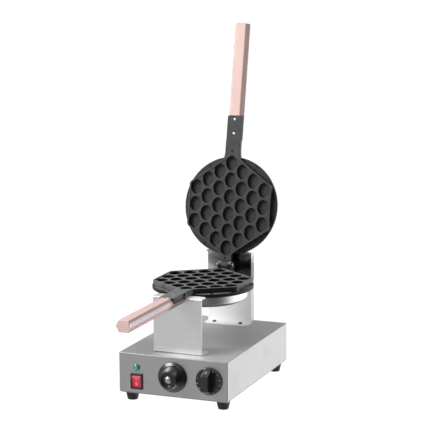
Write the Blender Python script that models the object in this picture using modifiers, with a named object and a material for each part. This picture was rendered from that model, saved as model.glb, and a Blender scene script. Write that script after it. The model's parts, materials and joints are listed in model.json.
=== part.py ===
"""Commercial bubble waffle maker: a steel base with controls, two brackets, and a folding cast iron.

Lengths are metres and +Z is up.  The device is laid out with its base front at y = 0, its base
centred on x = 0 and the table at z = 0.  One empty then shifts everything along Y, so that the
world origin lies at the bottom centre of the whole machine with its lid open.
"""

import math

import bmesh
import bpy
from mathutils import Matrix, Vector

# Fits shared by all pieces
FIT = 0.0003                 # gap between two pieces that touch
RUNNING_FIT = 0.0005         # gap round a piece that turns
OVERRUN = 0.001              # how far a cutter runs past the face it cuts
MERGE = 0.00001              # merge distance of turned shapes
LAP = 0.0005                 # how far two joined solids run into each other

# Base housing
BASE_W = 0.220
BASE_BEHIND = 0.035          # base behind the rear bracket
BASE_H = 0.0764
SHEET = 0.0012
BASE_BEND = 0.0022
BASE_LIP = 0.025
BOTTOM_SHEET = 0.0010
BOTTOM_INSET = 0.0015
VENT_L = 0.034
VENT_W = 0.004
VENT_PITCH = 0.011
BOTTOM_VENTS = 9
BACK_VENTS = 7
BACK_VENT_L = 0.030
BACK_VENT_INSET = 0.074      # middle of the back vents from the right side

# Feet and their screws
FOOT_H = 0.0175
FOOT_TOP_R = 0.0135
FOOT_BOTTOM_R = 0.0098
FOOT_ROUND = 0.0015
FOOT_INSET_X = 0.0175
FOOT_INSET_Y = 0.0225
FOOT_RECESS_R = 0.0052
FOOT_RECESS_H = 0.0065
M4_R = 0.0020
M4_HEAD_R = 0.0040
M4_HEAD_H = 0.0024
CROWN_SHARE = 0.7            # flat crown of a screw head

# Front bracket, a folded channel whose round notch carries the iron's journal
FRONT_W = 0.098
FRONT_FOOT = 0.031
FRONT_TOP = 0.022
FRONT_DROP = 0.0105          # top of the bracket below the mating plane
BRACKET_SHEET = 0.0015
BRACKET_BEND = 0.0025
FRONT_SCREW_X = 0.030
FRONT_CORNER = 0.002

# Rear bracket, a taller channel with side returns, which carries the spindle
HINGE_TO_BRACKET = 0.0225    # from the lid's pin back to the bracket
REAR_W = 0.093
REAR_FOOT = 0.026
REAR_TOP = 0.016
REAR_RETURN = 0.017
REAR_RISE = 0.029            # top of the bracket above the mating plane
REAR_NOTCH_W = 0.080         # the lid leans back through this gap in the top flange
REAR_SCREW_X = 0.028
REAR_CORNER = 0.005

# Iron halves
MATE_Z = 0.2140              # mating plane above the table
PAN_Y = 0.1520               # middle of the lower pan behind the base front
HEX_HALF_W = 0.0875
HEX_APEX = 0.1055
HEX_CORNER = 0.010
CELL_ROW = 0.0341            # spacing of cells along the handle
CELL_COLUMN = 0.0240         # spacing of columns across it
CELL_COUNTS = (3, 4, 5, 6, 5, 4, 3)
CELL_HALF_L = 0.0146
CELL_HALF_W = 0.0116
CELL_DEPTH = 0.0085
CELL_SIDES = 10
CELL_TAPER = 0.90            # floor of a cell as a share of its mouth
CELL_ROUND = 0.0028
RIM_W = 0.0035
RIM_H = 0.0010
SLAB_T = 0.010
DISC_R = 0.098
DISC_T = 0.007
DISC_EDGE = 0.0012
LID_GAP = 0.0003
ARM_HALF_W = 0.015
ARM_END = 0.180
NECK_HALF_W = 0.022
NECK_END = 0.108
JOURNAL_R = 0.018
JOURNAL_START = 0.104
JOURNAL_END = 0.131
JOURNAL_DROP = 0.0004
JOURNAL_PROUD = 0.0038       # journal in front of the bracket
ARM_HOLE_R = 0.0028
ARM_HOLE_DEPTH = 0.006
ARM_HOLE_AT = 0.1094
STUD_R = 0.008

# Heating element and its cover, on the back of each half
HEATER_R = 0.058
HEATER_TUBE_R = 0.0042
HEATER_GAP_ANGLE = math.radians(26)
HEATER_POINTS = 22
HEATER_TAIL = 0.024
COVER_TOP_R = 0.088
COVER_EDGE_R = 0.0855
COVER_BOTTOM_R = 0.079
COVER_H = 0.0215
COVER_EDGE_H = 0.006
COVER_SHEET = 0.0012
COVER_SCREW_R = 0.0025
COVER_SCREW_L = 0.012
COVER_SCREW_HEAD_R = 0.0055
COVER_SCREW_HEAD_H = 0.0030

# Wooden half handles
HANDLE_START = 0.1315
HANDLE_END = 0.365
HANDLE_T = 0.022
HANDLE_HALF_W = 0.016
HANDLE_FLAT = 0.0095
HANDLE_WIDEST = 0.0105
HANDLE_BEVEL = 0.0012
BOLT_NEAR = 0.1445
BOLT_FAR = 0.1724
BOLT_R = 0.0020
BOLT_HEAD_R = 0.0036
BOLT_HEAD_H = 0.0024
NUT_R = 0.0046
NUT_H = 0.0032
NUT_RECESS_R = 0.0056

# Lid hinge, at the rear of the pans
HINGE_REACH = 0.1185
HINGE_RISE = 0.004
LID_LEAN = math.radians(11.3)
PIN_R = 0.0030
PIN_HALF_L = 0.0180
PIN_HEAD_R = 0.0045
PIN_HEAD_L = 0.0025
KNUCKLE_R = 0.008
KNUCKLE_HALF_W = 0.0067
LUG_INNER = 0.0072
LUG_OUTER = 0.0142
WEB_TOP = 0.0055             # top of the lower web below the mating plane
TONGUE_HALF_W = 0.0130
TONGUE_END = 0.1093
TONGUE_HOLE_R = 0.0024
TONGUE_HOLE_AT = 0.1055
BOSS_R = 0.0130
BOSS_BEHIND = 0.0095         # boss behind the pin
BOSS_T = 0.0060

# Spindle, bush and retaining ring at the rear bracket
SPINDLE_R = 0.008
SPINDLE_BORE_R = 0.005
SPINDLE_FLANGE_R = 0.012
SPINDLE_FLANGE_T = 0.0028
SPINDLE_TAIL = 0.012         # spindle behind the bracket's plate
BUSH_FLANGE_R = 0.0130
BUSH_FLANGE_T = 0.0028
BUSH_R = 0.0105
BUSH_TAIL = 0.0065
RING_R = 0.0120
RING_T = 0.0020

# Controls on the front
CONTROL_SHARE = 0.668        # outer controls, as a share of half the base's width
LAMP_SHARE = 0.646           # heights of the controls, as shares of the base's height
SWITCH_SHARE = 0.297
KNOB_SHARE = 0.49
LAMP_R = 0.0056
LAMP_LENS_R = 0.0066
LAMP_LENS_H = 0.0048
LAMP_LENS_RIM = 0.0014
LAMP_BODY_L = 0.024
LAMP_NUT_R = 0.0085
LAMP_NUT_T = 0.003
SWITCH_BEZEL_W = 0.0250
SWITCH_BEZEL_H = 0.0308
SWITCH_BEZEL_T = 0.0022
SWITCH_BODY_W = 0.0215
SWITCH_BODY_H = 0.0268
SWITCH_BODY_L = 0.026
SWITCH_POCKET = 0.011
SWITCH_WALL = 0.0012
ROCKER_TILT = math.radians(8)
ROCKER_T = 0.0058
ROCKER_PIVOT = 0.0022        # pivot behind the panel's face
ROCKER_PROUD = 0.0030
ROCKER_CLEAR_W = 0.0006
ROCKER_CLEAR_H = 0.0010
THERMO_X = 0.0
SKIRT_R = 0.0288
SKIRT_FRONT_R = 0.0262
SKIRT_T = 0.0060
SKIRT_EDGE = 0.0022
SKIRT_GAP = 0.0006
GRIP_R = 0.0225
GRIP_FRONT_R = 0.0168
GRIP_H = 0.0180
GRIP_ROUND = 0.0012
GRIP_DISH_R = 0.0110
GRIP_DISH_DEPTH = 0.0045
CAP_R = 0.0055
CAP_H = 0.0048
CAP_ROUND = 0.0014
SHAFT_R = 0.0030
SHAFT_L = 0.0135             # shaft in front of the panel
SHAFT_SOCKET_L = 0.0145
DIAL_R = 0.0262
DIAL_FRONT_R = 0.0250
DIAL_T = 0.0046
BAR_HALF_L = 0.0240
BAR_FRONT_HALF_L = 0.0150
BAR_W = 0.0140
BAR_H = 0.0215
BAR_ROUND = 0.0010
THERMO_BODY_R = 0.018
THERMO_BODY_L = 0.026
TIMER_BODY_W = 0.052
TIMER_BODY_H = 0.052
TIMER_BODY_L = 0.040
PANEL_HOLE_R = 0.0052

# Wiring inside the base and the way up to the iron
BLOCK_W = 0.044
BLOCK_D = 0.018
BLOCK_H = 0.014
BLOCK_X = -0.030
BLOCK_Y = 0.200
BLOCK_BORE_R = 0.0028
POLE_PITCH = 0.0146
GLAND_INSET = 0.035
GLAND_Z = 0.030
GLAND_R = 0.0085
GLAND_FLANGE_R = 0.0125
GLAND_FLANGE_T = 0.0030
GLAND_NECK_R = 0.0075
GLAND_NECK_L = 0.018
GLAND_TAIL = 0.014
GLAND_BORE_R = 0.0042
GROMMET_R = 0.0068
GROMMET_FLANGE_R = 0.0095
GROMMET_FLANGE_T = 0.0022
GROMMET_BORE_R = 0.0045
GROMMET_BEHIND = 0.022       # grommet behind the rear bracket
SLEEVE_R = 0.0036
LEAD_R = 0.0013
LEAD_STEPS = 3
LEAD_RUN = 0.024             # straight start of a lead
LEAD_LAY = 0.0245            # height at which the leads lie in the base
SLEEVE_BULGE = 0.002
SLEEVE_BEHIND = 0.007        # end of the sleeve behind the bracket
SLEEVE_STRAIGHT = 0.0085

# Smoothness of round pieces
HEX_SIDES = 6
COARSE = 10
MEDIUM = 16
FINE = 32

# Sizes worked out from the values above
BASE_Z = FOOT_H + BOTTOM_SHEET + 2 * FIT
BASE_TOP = BASE_Z + BASE_H
HINGE_Y = PAN_Y + HINGE_REACH
FRONT_Y = PAN_Y - JOURNAL_END + JOURNAL_PROUD
REAR_Y = HINGE_Y + HINGE_TO_BRACKET
BASE_D = REAR_Y + BASE_BEHIND
BOSS_FRONT = HINGE_REACH + BOSS_BEHIND
BOSS_BACK = BOSS_FRONT + BOSS_T
CONTROL_X = CONTROL_SHARE * BASE_W / 2
LAMP_X = -CONTROL_X
SWITCH_X = -CONTROL_X
TIMER_X = CONTROL_X
BACK_VENT_X = BASE_W / 2 - BACK_VENT_INSET
GLAND_X = GLAND_INSET - BASE_W / 2
LAMP_Z = BASE_Z + LAMP_SHARE * BASE_H
SWITCH_Z = BASE_Z + SWITCH_SHARE * BASE_H
KNOB_Z = BASE_Z + KNOB_SHARE * BASE_H
GROMMET_Y = REAR_Y + GROMMET_BEHIND
SLEEVE_END_Y = REAR_Y + SLEEVE_BEHIND
BLOCK_POLES = (-POLE_PITCH, 0.0, POLE_PITCH)
HINGE_Z = MATE_Z + HINGE_RISE
OPEN_ANGLE = math.pi / 2 + LID_LEAN
HALF_T = SLAB_T + DISC_T
CELL_FLOOR = RIM_H + CELL_DEPTH
FRONT_TOP_Z = MATE_Z - FRONT_DROP
REAR_TOP_Z = MATE_Z + REAR_RISE
HANDLE_TIP_Y = PAN_Y - HANDLE_END
LID_REACH = HINGE_REACH + HANDLE_END
LID_BACK = HANDLE_T + LID_GAP - HINGE_RISE
LID_TIP_Y = (HINGE_Y + (LID_REACH - HANDLE_BEVEL) * math.sin(LID_LEAN)
             + LID_BACK * math.cos(LID_LEAN))
MIDDLE_Y = (HANDLE_TIP_Y + LID_TIP_Y) / 2
FACE_FORWARD = (math.pi / 2, 0.0, 0.0)
FACE_BACKWARD = (-math.pi / 2, 0.0, 0.0)
ALONG_X = (0.0, math.pi / 2, 0.0)


def clear_scene():
    """Remove whatever the file held before."""
    for item in list(bpy.data.objects):
        bpy.data.objects.remove(item, do_unlink=True)


clear_scene()
PARTS = bpy.data.collections.new("bubble_waffle_maker")
CUTTERS = bpy.data.collections.new("cutters")
bpy.context.scene.collection.children.link(PARTS)
bpy.context.scene.collection.children.link(CUTTERS)


def surface(name, colour, roughness, metallic=0.0, transmission=0.0):
    """One Principled material."""
    material = bpy.data.materials.new(name)
    material.use_nodes = True
    shader = material.node_tree.nodes["Principled BSDF"]
    shader.inputs["Base Color"].default_value = (*colour, 1.0)
    shader.inputs["Roughness"].default_value = roughness
    shader.inputs["Metallic"].default_value = metallic
    shader.inputs["Transmission Weight"].default_value = transmission
    return material


STAINLESS = surface("brushed_stainless", (0.55, 0.55, 0.55), 0.34, 1.0)
BRIGHT_STEEL = surface("bright_steel", (0.66, 0.66, 0.67), 0.22, 1.0)
NON_STICK = surface("non_stick_coat", (0.055, 0.055, 0.057), 0.48, 0.2)
COVER_METAL = surface("cover_metal", (0.30, 0.30, 0.31), 0.45, 0.9)
WOOD = surface("pale_wood", (0.72, 0.50, 0.43), 0.55)
BLACK_RUBBER = surface("black_rubber", (0.018, 0.018, 0.018), 0.75)
BLACK_PLASTIC = surface("black_plastic", (0.020, 0.020, 0.021), 0.22)
RED_PLASTIC = surface("red_plastic", (0.62, 0.02, 0.05), 0.25)
GREEN_LENS = surface("green_lens", (0.03, 0.30, 0.28), 0.12, 0.0, 0.3)
WHITE_PLASTIC = surface("white_plastic", (0.78, 0.78, 0.76), 0.45)
BRONZE = surface("bronze", (0.48, 0.32, 0.15), 0.35, 1.0)
SLEEVING = surface("glass_sleeving", (0.62, 0.60, 0.55), 0.85)
SATIN_CAP = surface("satin_cap", (0.42, 0.42, 0.43), 0.30, 1.0)


def empty(name, place, parent=None, turn=(0.0, 0.0, 0.0)):
    """An axis or a carrier that pieces hang from."""
    item = bpy.data.objects.new(name, None)
    item.location = place
    item.rotation_euler = turn
    item.parent = parent
    PARTS.objects.link(item)
    return item


def place_object(name, mesh, carrier, place, turn, material, helper):
    """Put a mesh into the scene, as a piece or as a helper that the render leaves out."""
    item = bpy.data.objects.new(name, mesh)
    item.location = place
    item.rotation_euler = turn
    item.parent = carrier
    if helper:
        item.hide_render = True
        item.display_type = "WIRE"
        CUTTERS.objects.link(item)
    else:
        mesh.materials.append(material)
        PARTS.objects.link(item)
    return item


def from_bmesh(name, shape, carrier, place, turn, material, helper):
    """Turn a bmesh into an object."""
    mesh = bpy.data.meshes.new(name)
    shape.to_mesh(mesh)
    shape.free()
    return place_object(name, mesh, carrier, place, turn, material, helper)


def block(name, size, place, carrier, material=None, helper=False, turn=(0.0, 0.0, 0.0)):
    """A box of a given size about its middle."""
    shape = bmesh.new()
    bmesh.ops.create_cube(shape, size=1.0)
    bmesh.ops.scale(shape, vec=size, verts=shape.verts)
    return from_bmesh(name, shape, carrier, place, turn, material, helper)


def rod(name, radius, length, place, carrier, turn, sides=MEDIUM, material=None, helper=False,
        far_radius=None):
    """A cylinder or cone about its own Z, centred on its place."""
    shape = bmesh.new()
    bmesh.ops.create_cone(shape, cap_ends=True, segments=sides, radius1=radius,
                          radius2=radius if far_radius is None else far_radius, depth=length)
    item = from_bmesh(name, shape, carrier, place, turn, material, helper)
    item.data.shade_smooth()
    item.data.set_sharp_from_angle(angle=math.radians(40))
    return item


def turned(name, profile, place, carrier, turn, material=None, sides=MEDIUM, helper=False):
    """A turned shape: the profile's (radius, height) points run down its outer side.

    A profile that does not start on the axis closes on itself, and makes a ring.
    """
    ring = profile[0][0] > 0.0
    shape = bmesh.new()
    corners = [shape.verts.new((radius, 0.0, height)) for radius, height in profile]
    for first, second in zip(corners, corners[1:]):
        shape.edges.new((first, second))
    if ring:
        shape.edges.new((corners[-1], corners[0]))
    item = from_bmesh(name, shape, carrier, place, turn, material, helper)
    screw = item.modifiers.new("turn", "SCREW")
    screw.steps = sides
    screw.render_steps = sides
    screw.use_merge_vertices = True
    screw.merge_threshold = MERGE
    screw.use_smooth_shade = True
    return item


def slab(name, outline, thickness, place, carrier, turn=(0.0, 0.0, 0.0), material=None,
         helper=False):
    """A flat outline made thick, about its middle plane, and kept as a mesh."""
    curve = bpy.data.curves.new(name, "CURVE")
    curve.dimensions = "2D"
    curve.fill_mode = "BOTH"
    curve.extrude = thickness / 2
    spline = curve.splines.new("POLY")
    spline.points.add(len(outline) - 1)
    for point, (x, y) in zip(spline.points, outline):
        point.co = (x, y, 0.0, 1.0)
    spline.use_cyclic_u = True
    drawn = bpy.data.objects.new(name + "_drawn", curve)
    bpy.context.scene.collection.objects.link(drawn)
    bpy.context.view_layer.update()
    seen = drawn.evaluated_get(bpy.context.evaluated_depsgraph_get())
    mesh = bpy.data.meshes.new_from_object(seen)
    bpy.data.objects.remove(drawn, do_unlink=True)
    shape = bmesh.new()
    shape.from_mesh(mesh)
    bmesh.ops.remove_doubles(shape, verts=shape.verts, dist=MERGE)
    bmesh.ops.recalc_face_normals(shape, faces=shape.faces)
    bpy.data.meshes.remove(mesh)
    return from_bmesh(name, shape, carrier, place, turn, material, helper)


def wire(name, route, radius, carrier, material, sides_level=1):
    """A round lead or tube along a route of points."""
    curve = bpy.data.curves.new(name, "CURVE")
    curve.dimensions = "3D"
    curve.bevel_depth = radius
    curve.bevel_resolution = sides_level
    curve.render_resolution_u = 0
    curve.use_fill_caps = True
    spline = curve.splines.new("POLY")
    spline.points.add(len(route) - 1)
    for point, corner in zip(spline.points, route):
        point.co = (*corner, 1.0)
    curve.materials.append(material)
    item = bpy.data.objects.new(name, curve)
    item.parent = carrier
    PARTS.objects.link(item)
    return item


def smooth_route(corners, steps):
    """Points along a smooth curve through a route's corners."""
    points = [Vector(corner) for corner in corners]
    padded = [points[0] * 2 - points[1], *points, points[-1] * 2 - points[-2]]
    route = []
    for before, start, end, after in zip(padded, padded[1:], padded[2:], padded[3:]):
        for step in range(steps):
            t = step / steps
            route.append(0.5 * (2 * start + (end - before) * t
                                + (2 * before - 5 * start + 4 * end - after) * t ** 2
                                + (3 * start - before - 3 * end + after) * t ** 3))
    route.append(points[-1])
    return route


def combine(piece, other, operation):
    """Cut a piece with another shape, or join the two."""
    step = piece.modifiers.new(operation.lower(), "BOOLEAN")
    step.operation = operation
    step.object = other
    return piece


def cut(piece, *cutters):
    """Take the cutters out of a piece."""
    for cutter in cutters:
        combine(piece, cutter, "DIFFERENCE")


def join(piece, *additions):
    """Join helper shapes to a piece."""
    for addition in additions:
        combine(piece, addition, "UNION")


def round_edges(piece, radius, segments=2, angle=math.radians(40)):
    """Round the sharp edges of a piece."""
    bevel = piece.modifiers.new("round", "BEVEL")
    bevel.width = radius
    bevel.segments = segments
    bevel.limit_method = "ANGLE"
    bevel.angle_limit = angle
    return bevel


def fillet(outline, radii, steps=3):
    """Round an outline's corners; each corner has its own radius, and zero keeps it sharp."""
    count = len(outline)
    rounded = []
    for index, (corner, radius) in enumerate(zip(outline, radii)):
        middle = Vector(corner)
        if radius == 0.0:
            rounded.append(tuple(middle))
            continue
        back = (Vector(outline[index - 1]) - middle).normalized()
        ahead = (Vector(outline[(index + 1) % count]) - middle).normalized()
        half = back.angle(ahead) / 2
        centre = middle + (back + ahead).normalized() * (radius / math.sin(half))
        start = middle + back * (radius / math.tan(half)) - centre
        end = middle + ahead * (radius / math.tan(half)) - centre
        sweep = start.angle_signed(end)
        for step in range(steps + 1):
            turn = Matrix.Rotation(-sweep * step / steps, 2)
            rounded.append(tuple(centre + turn @ start))
    return rounded


def sheet_channel(name, path, width, carrier, corner):
    """A strip folded along a path of (y, z) points, with rounded bends and rounded corners."""
    shape = bmesh.new()
    edge = [shape.verts.new((-width / 2, y, z)) for y, z in path]
    folds = [shape.edges.new(pair) for pair in zip(edge, edge[1:])]
    pulled = bmesh.ops.extrude_edge_only(shape, edges=folds)["geom"]
    moved = [item for item in pulled if isinstance(item, bmesh.types.BMVert)]
    bmesh.ops.translate(shape, verts=moved, vec=(width, 0.0, 0.0))
    ends = [vert for vert in shape.verts if len(vert.link_edges) == 2]
    bmesh.ops.bevel(shape, geom=ends, offset=corner, segments=2, affect="VERTICES")
    item = from_bmesh(name, shape, carrier, (0.0, 0.0, 0.0), (0.0, 0.0, 0.0), STAINLESS, False)
    round_edges(item, BRACKET_BEND, 2, math.radians(30))
    thick = item.modifiers.new("sheet", "SOLIDIFY")
    thick.thickness = BRACKET_SHEET
    thick.offset = -1.0
    thick.use_even_offset = True
    return item


def hexagon(inset=0.0):
    """The six corners of the pan, drawn in from its edge by an inset, from the front apex."""
    slope = (HEX_APEX - side_half_length()) / HEX_HALF_W
    lean = math.sqrt(1.0 + slope ** 2)
    apex = HEX_APEX - inset * lean
    half_w = HEX_HALF_W - inset
    side = apex - slope * half_w
    return [(0.0, -apex), (half_w, -side), (half_w, side), (0.0, apex), (-half_w, side),
            (-half_w, -side)]


def side_half_length():
    """Half of the pan's straight side, whose slanted sides follow the cell lattice."""
    return HEX_APEX - HEX_HALF_W * (CELL_ROW / 2) / CELL_COLUMN


def slant_y(x):
    """Where the slanted front side of the pan meets a distance from the centre line."""
    return -(HEX_APEX - x * (CELL_ROW / 2) / CELL_COLUMN)


def half_outline(tongue):
    """Outline of one half: the pan with its arm in front and, on the lid, a tongue behind."""
    _, right_front, right_back, _, _, _ = hexagon()
    neck_y = slant_y(NECK_HALF_W)
    right = [
        (ARM_HALF_W, -ARM_END, ARM_HALF_W / 5),
        (ARM_HALF_W, -NECK_END, HEX_CORNER),
        (NECK_HALF_W, neck_y, HEX_CORNER / 2),
        (*right_front, HEX_CORNER),
        (*right_back, HEX_CORNER),
    ]
    if tongue:
        right += [(TONGUE_HALF_W, -slant_y(TONGUE_HALF_W), 0.0), (TONGUE_HALF_W, TONGUE_END, 0.0)]
        left = [(-x, y, radius) for x, y, radius in reversed(right)]
        corners = right + left
    else:
        left = [(-x, y, radius) for x, y, radius in reversed(right)]
        corners = right + [(0.0, HEX_APEX, HEX_CORNER)] + left
    return fillet([(x, y) for x, y, _ in corners], [radius for _, _, radius in corners])


def cell_places():
    """Middle of each batter cell on the mating plane."""
    places = []
    for column, count in enumerate(CELL_COUNTS):
        x = (column - (len(CELL_COUNTS) - 1) / 2) * CELL_COLUMN
        for row in range(count):
            places.append((x, (row - (count - 1) / 2) * CELL_ROW))
    return places


def cell_cutter(name, carrier):
    """All batter cells of one half, as one cutter of separate oval cups."""
    depth = CELL_FLOOR + OVERRUN
    shape = bmesh.new()
    for x, y in cell_places():
        place = Matrix.Translation((x, y, OVERRUN - depth / 2))
        stretch = Matrix.Diagonal((CELL_HALF_W, CELL_HALF_L, 1.0, 1.0))
        bmesh.ops.create_cone(shape, cap_ends=True, segments=CELL_SIDES, radius1=CELL_TAPER,
                              radius2=1.0, depth=depth, matrix=place @ stretch)
    low = [edge for edge in shape.edges if max(end.co.z for end in edge.verts) < -RIM_H]
    bmesh.ops.bevel(shape, geom=low, offset=CELL_ROUND, segments=1, affect="EDGES")
    return from_bmesh(name, shape, carrier, (0.0, 0.0, 0.0), (0.0, 0.0, 0.0), None, True)


def make_plate(side, carrier, is_lid):
    """One cast half: pan with cells, round back, arm and journal, and its part of the hinge."""
    plate = slab(side + "_plate", half_outline(is_lid), SLAB_T + LAP,
                 (0.0, 0.0, -(SLAB_T + LAP) / 2), carrier, material=NON_STICK)
    disc = turned(side + "_disc", [
        (0.0, -SLAB_T), (DISC_R - DISC_EDGE, -SLAB_T), (DISC_R, -SLAB_T - DISC_EDGE),
        (DISC_R, -HALF_T + DISC_EDGE), (DISC_R - DISC_EDGE, -HALF_T), (0.0, -HALF_T)],
        (0.0, 0.0, 0.0), carrier, (0.0, 0.0, 0.0), sides=FINE, helper=True)
    arc = [math.pi * (1.0 + step / MEDIUM) for step in range(MEDIUM + 1)]
    half_round = [(JOURNAL_R * math.cos(angle), JOURNAL_R * math.sin(angle)) for angle in arc]
    journal = slab(side + "_journal", half_round, JOURNAL_END - JOURNAL_START,
                   (0.0, -(JOURNAL_START + JOURNAL_END) / 2, -JOURNAL_DROP), carrier,
                   turn=FACE_FORWARD, helper=True)
    stud_l = COVER_H - COVER_SHEET
    stud = rod(side + "_stud", STUD_R, stud_l + LAP,
               (0.0, 0.0, -HALF_T - stud_l / 2 + LAP / 2), carrier, (0.0, 0.0, 0.0), COARSE,
               helper=True)
    join(plate, disc, journal, stud)
    if is_lid:
        add_lid_knuckle(plate, carrier)
    else:
        add_base_lugs(plate, carrier)
    recess = slab(side + "_recess", fillet(hexagon(RIM_W), [HEX_CORNER - RIM_W] * 6),
                  RIM_H + OVERRUN, (0.0, 0.0, (OVERRUN - RIM_H) / 2), carrier, helper=True)
    cut(plate, recess, cell_cutter(side + "_cells", carrier))
    arm_hole = rod(side + "_arm_hole", ARM_HOLE_R, ARM_HOLE_DEPTH + OVERRUN,
                   (0.0, -ARM_HOLE_AT, (OVERRUN - ARM_HOLE_DEPTH) / 2), carrier,
                   (0.0, 0.0, 0.0), COARSE, helper=True)
    screw_hole = rod(side + "_screw_hole", COVER_SCREW_R + FIT, COVER_SCREW_L + OVERRUN,
                     (0.0, 0.0, -HALF_T - stud_l + COVER_SCREW_L / 2), carrier,
                     (0.0, 0.0, 0.0), COARSE, helper=True)
    cut(plate, arm_hole, screw_hole)
    for label, at in (("near", BOLT_NEAR), ("far", BOLT_FAR)):
        cut(plate, bolt_clearance(f"{side}_{label}_hole", at, carrier))
    return plate


def bolt_clearance(name, at, carrier):
    """Room for a countersunk handle bolt, through the arm and the wood."""
    return turned(name, [
        (0.0, OVERRUN), (BOLT_HEAD_R + FIT, OVERRUN), (BOLT_HEAD_R + FIT, -FIT),
        (BOLT_R + FIT, -BOLT_HEAD_H - FIT), (BOLT_R + FIT, -HANDLE_T - OVERRUN),
        (0.0, -HANDLE_T - OVERRUN)],
        (0.0, -at, 0.0), carrier, (0.0, 0.0, 0.0), sides=COARSE, helper=True)


def add_lid_knuckle(plate, carrier):
    """The lid's single knuckle between the lugs, with its bore and the hole in the tongue."""
    start = TONGUE_END - KNUCKLE_R / 2
    end = HINGE_REACH + KNUCKLE_R / 4
    bridge = block("lid_bridge", (2 * KNUCKLE_HALF_W - LAP, end - start, SLAB_T - 2 * LAP),
                   (0.0, (start + end) / 2, -SLAB_T / 2), carrier, helper=True)
    knuckle = rod("lid_knuckle", KNUCKLE_R, 2 * KNUCKLE_HALF_W,
                  (0.0, HINGE_REACH, -HINGE_RISE + LID_GAP), carrier, ALONG_X, helper=True)
    bore = rod("lid_bore", PIN_R + RUNNING_FIT, 2 * LUG_OUTER,
               (0.0, HINGE_REACH, -HINGE_RISE + LID_GAP), carrier, ALONG_X, COARSE, helper=True)
    hole = rod("tongue_hole", TONGUE_HOLE_R, 2 * SLAB_T, (0.0, TONGUE_HOLE_AT, 0.0), carrier,
               (0.0, 0.0, 0.0), COARSE, helper=True)
    join(plate, bridge, knuckle)
    cut(plate, bore, hole)


def add_base_lugs(plate, carrier):
    """The lower web, its two lugs for the pin and the round boss that the spindle is fixed to."""
    web_h = HALF_T - WEB_TOP
    web_front = HEX_APEX - KNUCKLE_R * 2
    web = block("base_web", (2 * (LUG_OUTER - LAP), BOSS_BACK - LAP - web_front, web_h - LAP),
                (0.0, (BOSS_BACK - LAP + web_front) / 2, -WEB_TOP - web_h / 2), carrier,
                helper=True)
    boss = rod("base_boss", BOSS_R, BOSS_BACK - BOSS_FRONT,
               (0.0, (BOSS_FRONT + BOSS_BACK) / 2, 0.0), carrier, FACE_FORWARD, helper=True)
    join(plate, web, boss)
    lug_w = LUG_OUTER - LUG_INNER
    lug_h = WEB_TOP + HINGE_RISE + LAP
    for label, side in (("left", -1), ("right", 1)):
        x = side * (LUG_INNER + LUG_OUTER) / 2
        post = block(f"{label}_lug_post", (lug_w - LAP, 2 * KNUCKLE_R - 2 * LAP, lug_h),
                     (x, HINGE_REACH, HINGE_RISE - LAP - lug_h / 2), carrier, helper=True)
        eye = rod(f"{label}_lug_eye", KNUCKLE_R, lug_w, (x, HINGE_REACH, HINGE_RISE),
                  carrier, ALONG_X, helper=True)
        join(plate, post, eye)
    bore = rod("base_bore", PIN_R + FIT, 2 * PIN_HALF_L,
               (0.0, HINGE_REACH, HINGE_RISE), carrier, ALONG_X, COARSE, helper=True)
    cut(plate, bore)


def make_heater(side, carrier):
    """The tubular element under a plate, an open ring whose two tails turn inwards."""
    z = -HALF_T - FIT - HEATER_TUBE_R
    sweep = 2 * math.pi - 2 * HEATER_GAP_ANGLE
    ring = []
    for step in range(HEATER_POINTS + 1):
        angle = math.pi / 2 + HEATER_GAP_ANGLE + sweep * step / HEATER_POINTS
        ring.append((HEATER_R * math.cos(angle), HEATER_R * math.sin(angle), z))
    tail = HEATER_R - HEATER_TAIL
    first = (-HEATER_TAIL / 2, tail, z)
    last = (HEATER_TAIL / 2, tail, z)
    return wire(side + "_heater", [first, *ring, last], HEATER_TUBE_R, carrier, BRIGHT_STEEL)


def make_cover(side, carrier):
    """The pressed dish that closes in the element."""
    top = -HALF_T - FIT
    bottom = top - COVER_H
    hole = COVER_SCREW_R + FIT
    outer = [(COVER_TOP_R, top), (COVER_EDGE_R, bottom + COVER_EDGE_H),
             (COVER_BOTTOM_R, bottom), (hole, bottom)]
    inner = [(hole, bottom + COVER_SHEET), (COVER_BOTTOM_R - COVER_SHEET, bottom + COVER_SHEET),
             (COVER_EDGE_R - COVER_SHEET, bottom + COVER_EDGE_H),
             (COVER_TOP_R - COVER_SHEET, top)]
    return turned(side + "_cover", outer + inner, (0.0, 0.0, 0.0), carrier, (0.0, 0.0, 0.0),
                  COVER_METAL, FINE)


def make_cover_screw(side, carrier):
    """The screw through the middle of the cover into the plate's stud."""
    seat = -HALF_T - FIT - COVER_H - FIT
    head = seat - COVER_SCREW_HEAD_H
    tip = seat + COVER_SCREW_L - FIT
    return turned(side + "_cover_screw", [
        (0.0, tip), (COVER_SCREW_R, tip), (COVER_SCREW_R, seat), (COVER_SCREW_HEAD_R, seat),
        (COVER_SCREW_HEAD_R, head + COVER_SCREW_HEAD_H / 2),
        (COVER_SCREW_HEAD_R * CROWN_SHARE, head), (0.0, head)],
        (0.0, 0.0, 0.0), carrier, (0.0, 0.0, 0.0), BRIGHT_STEEL, COARSE)


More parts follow.
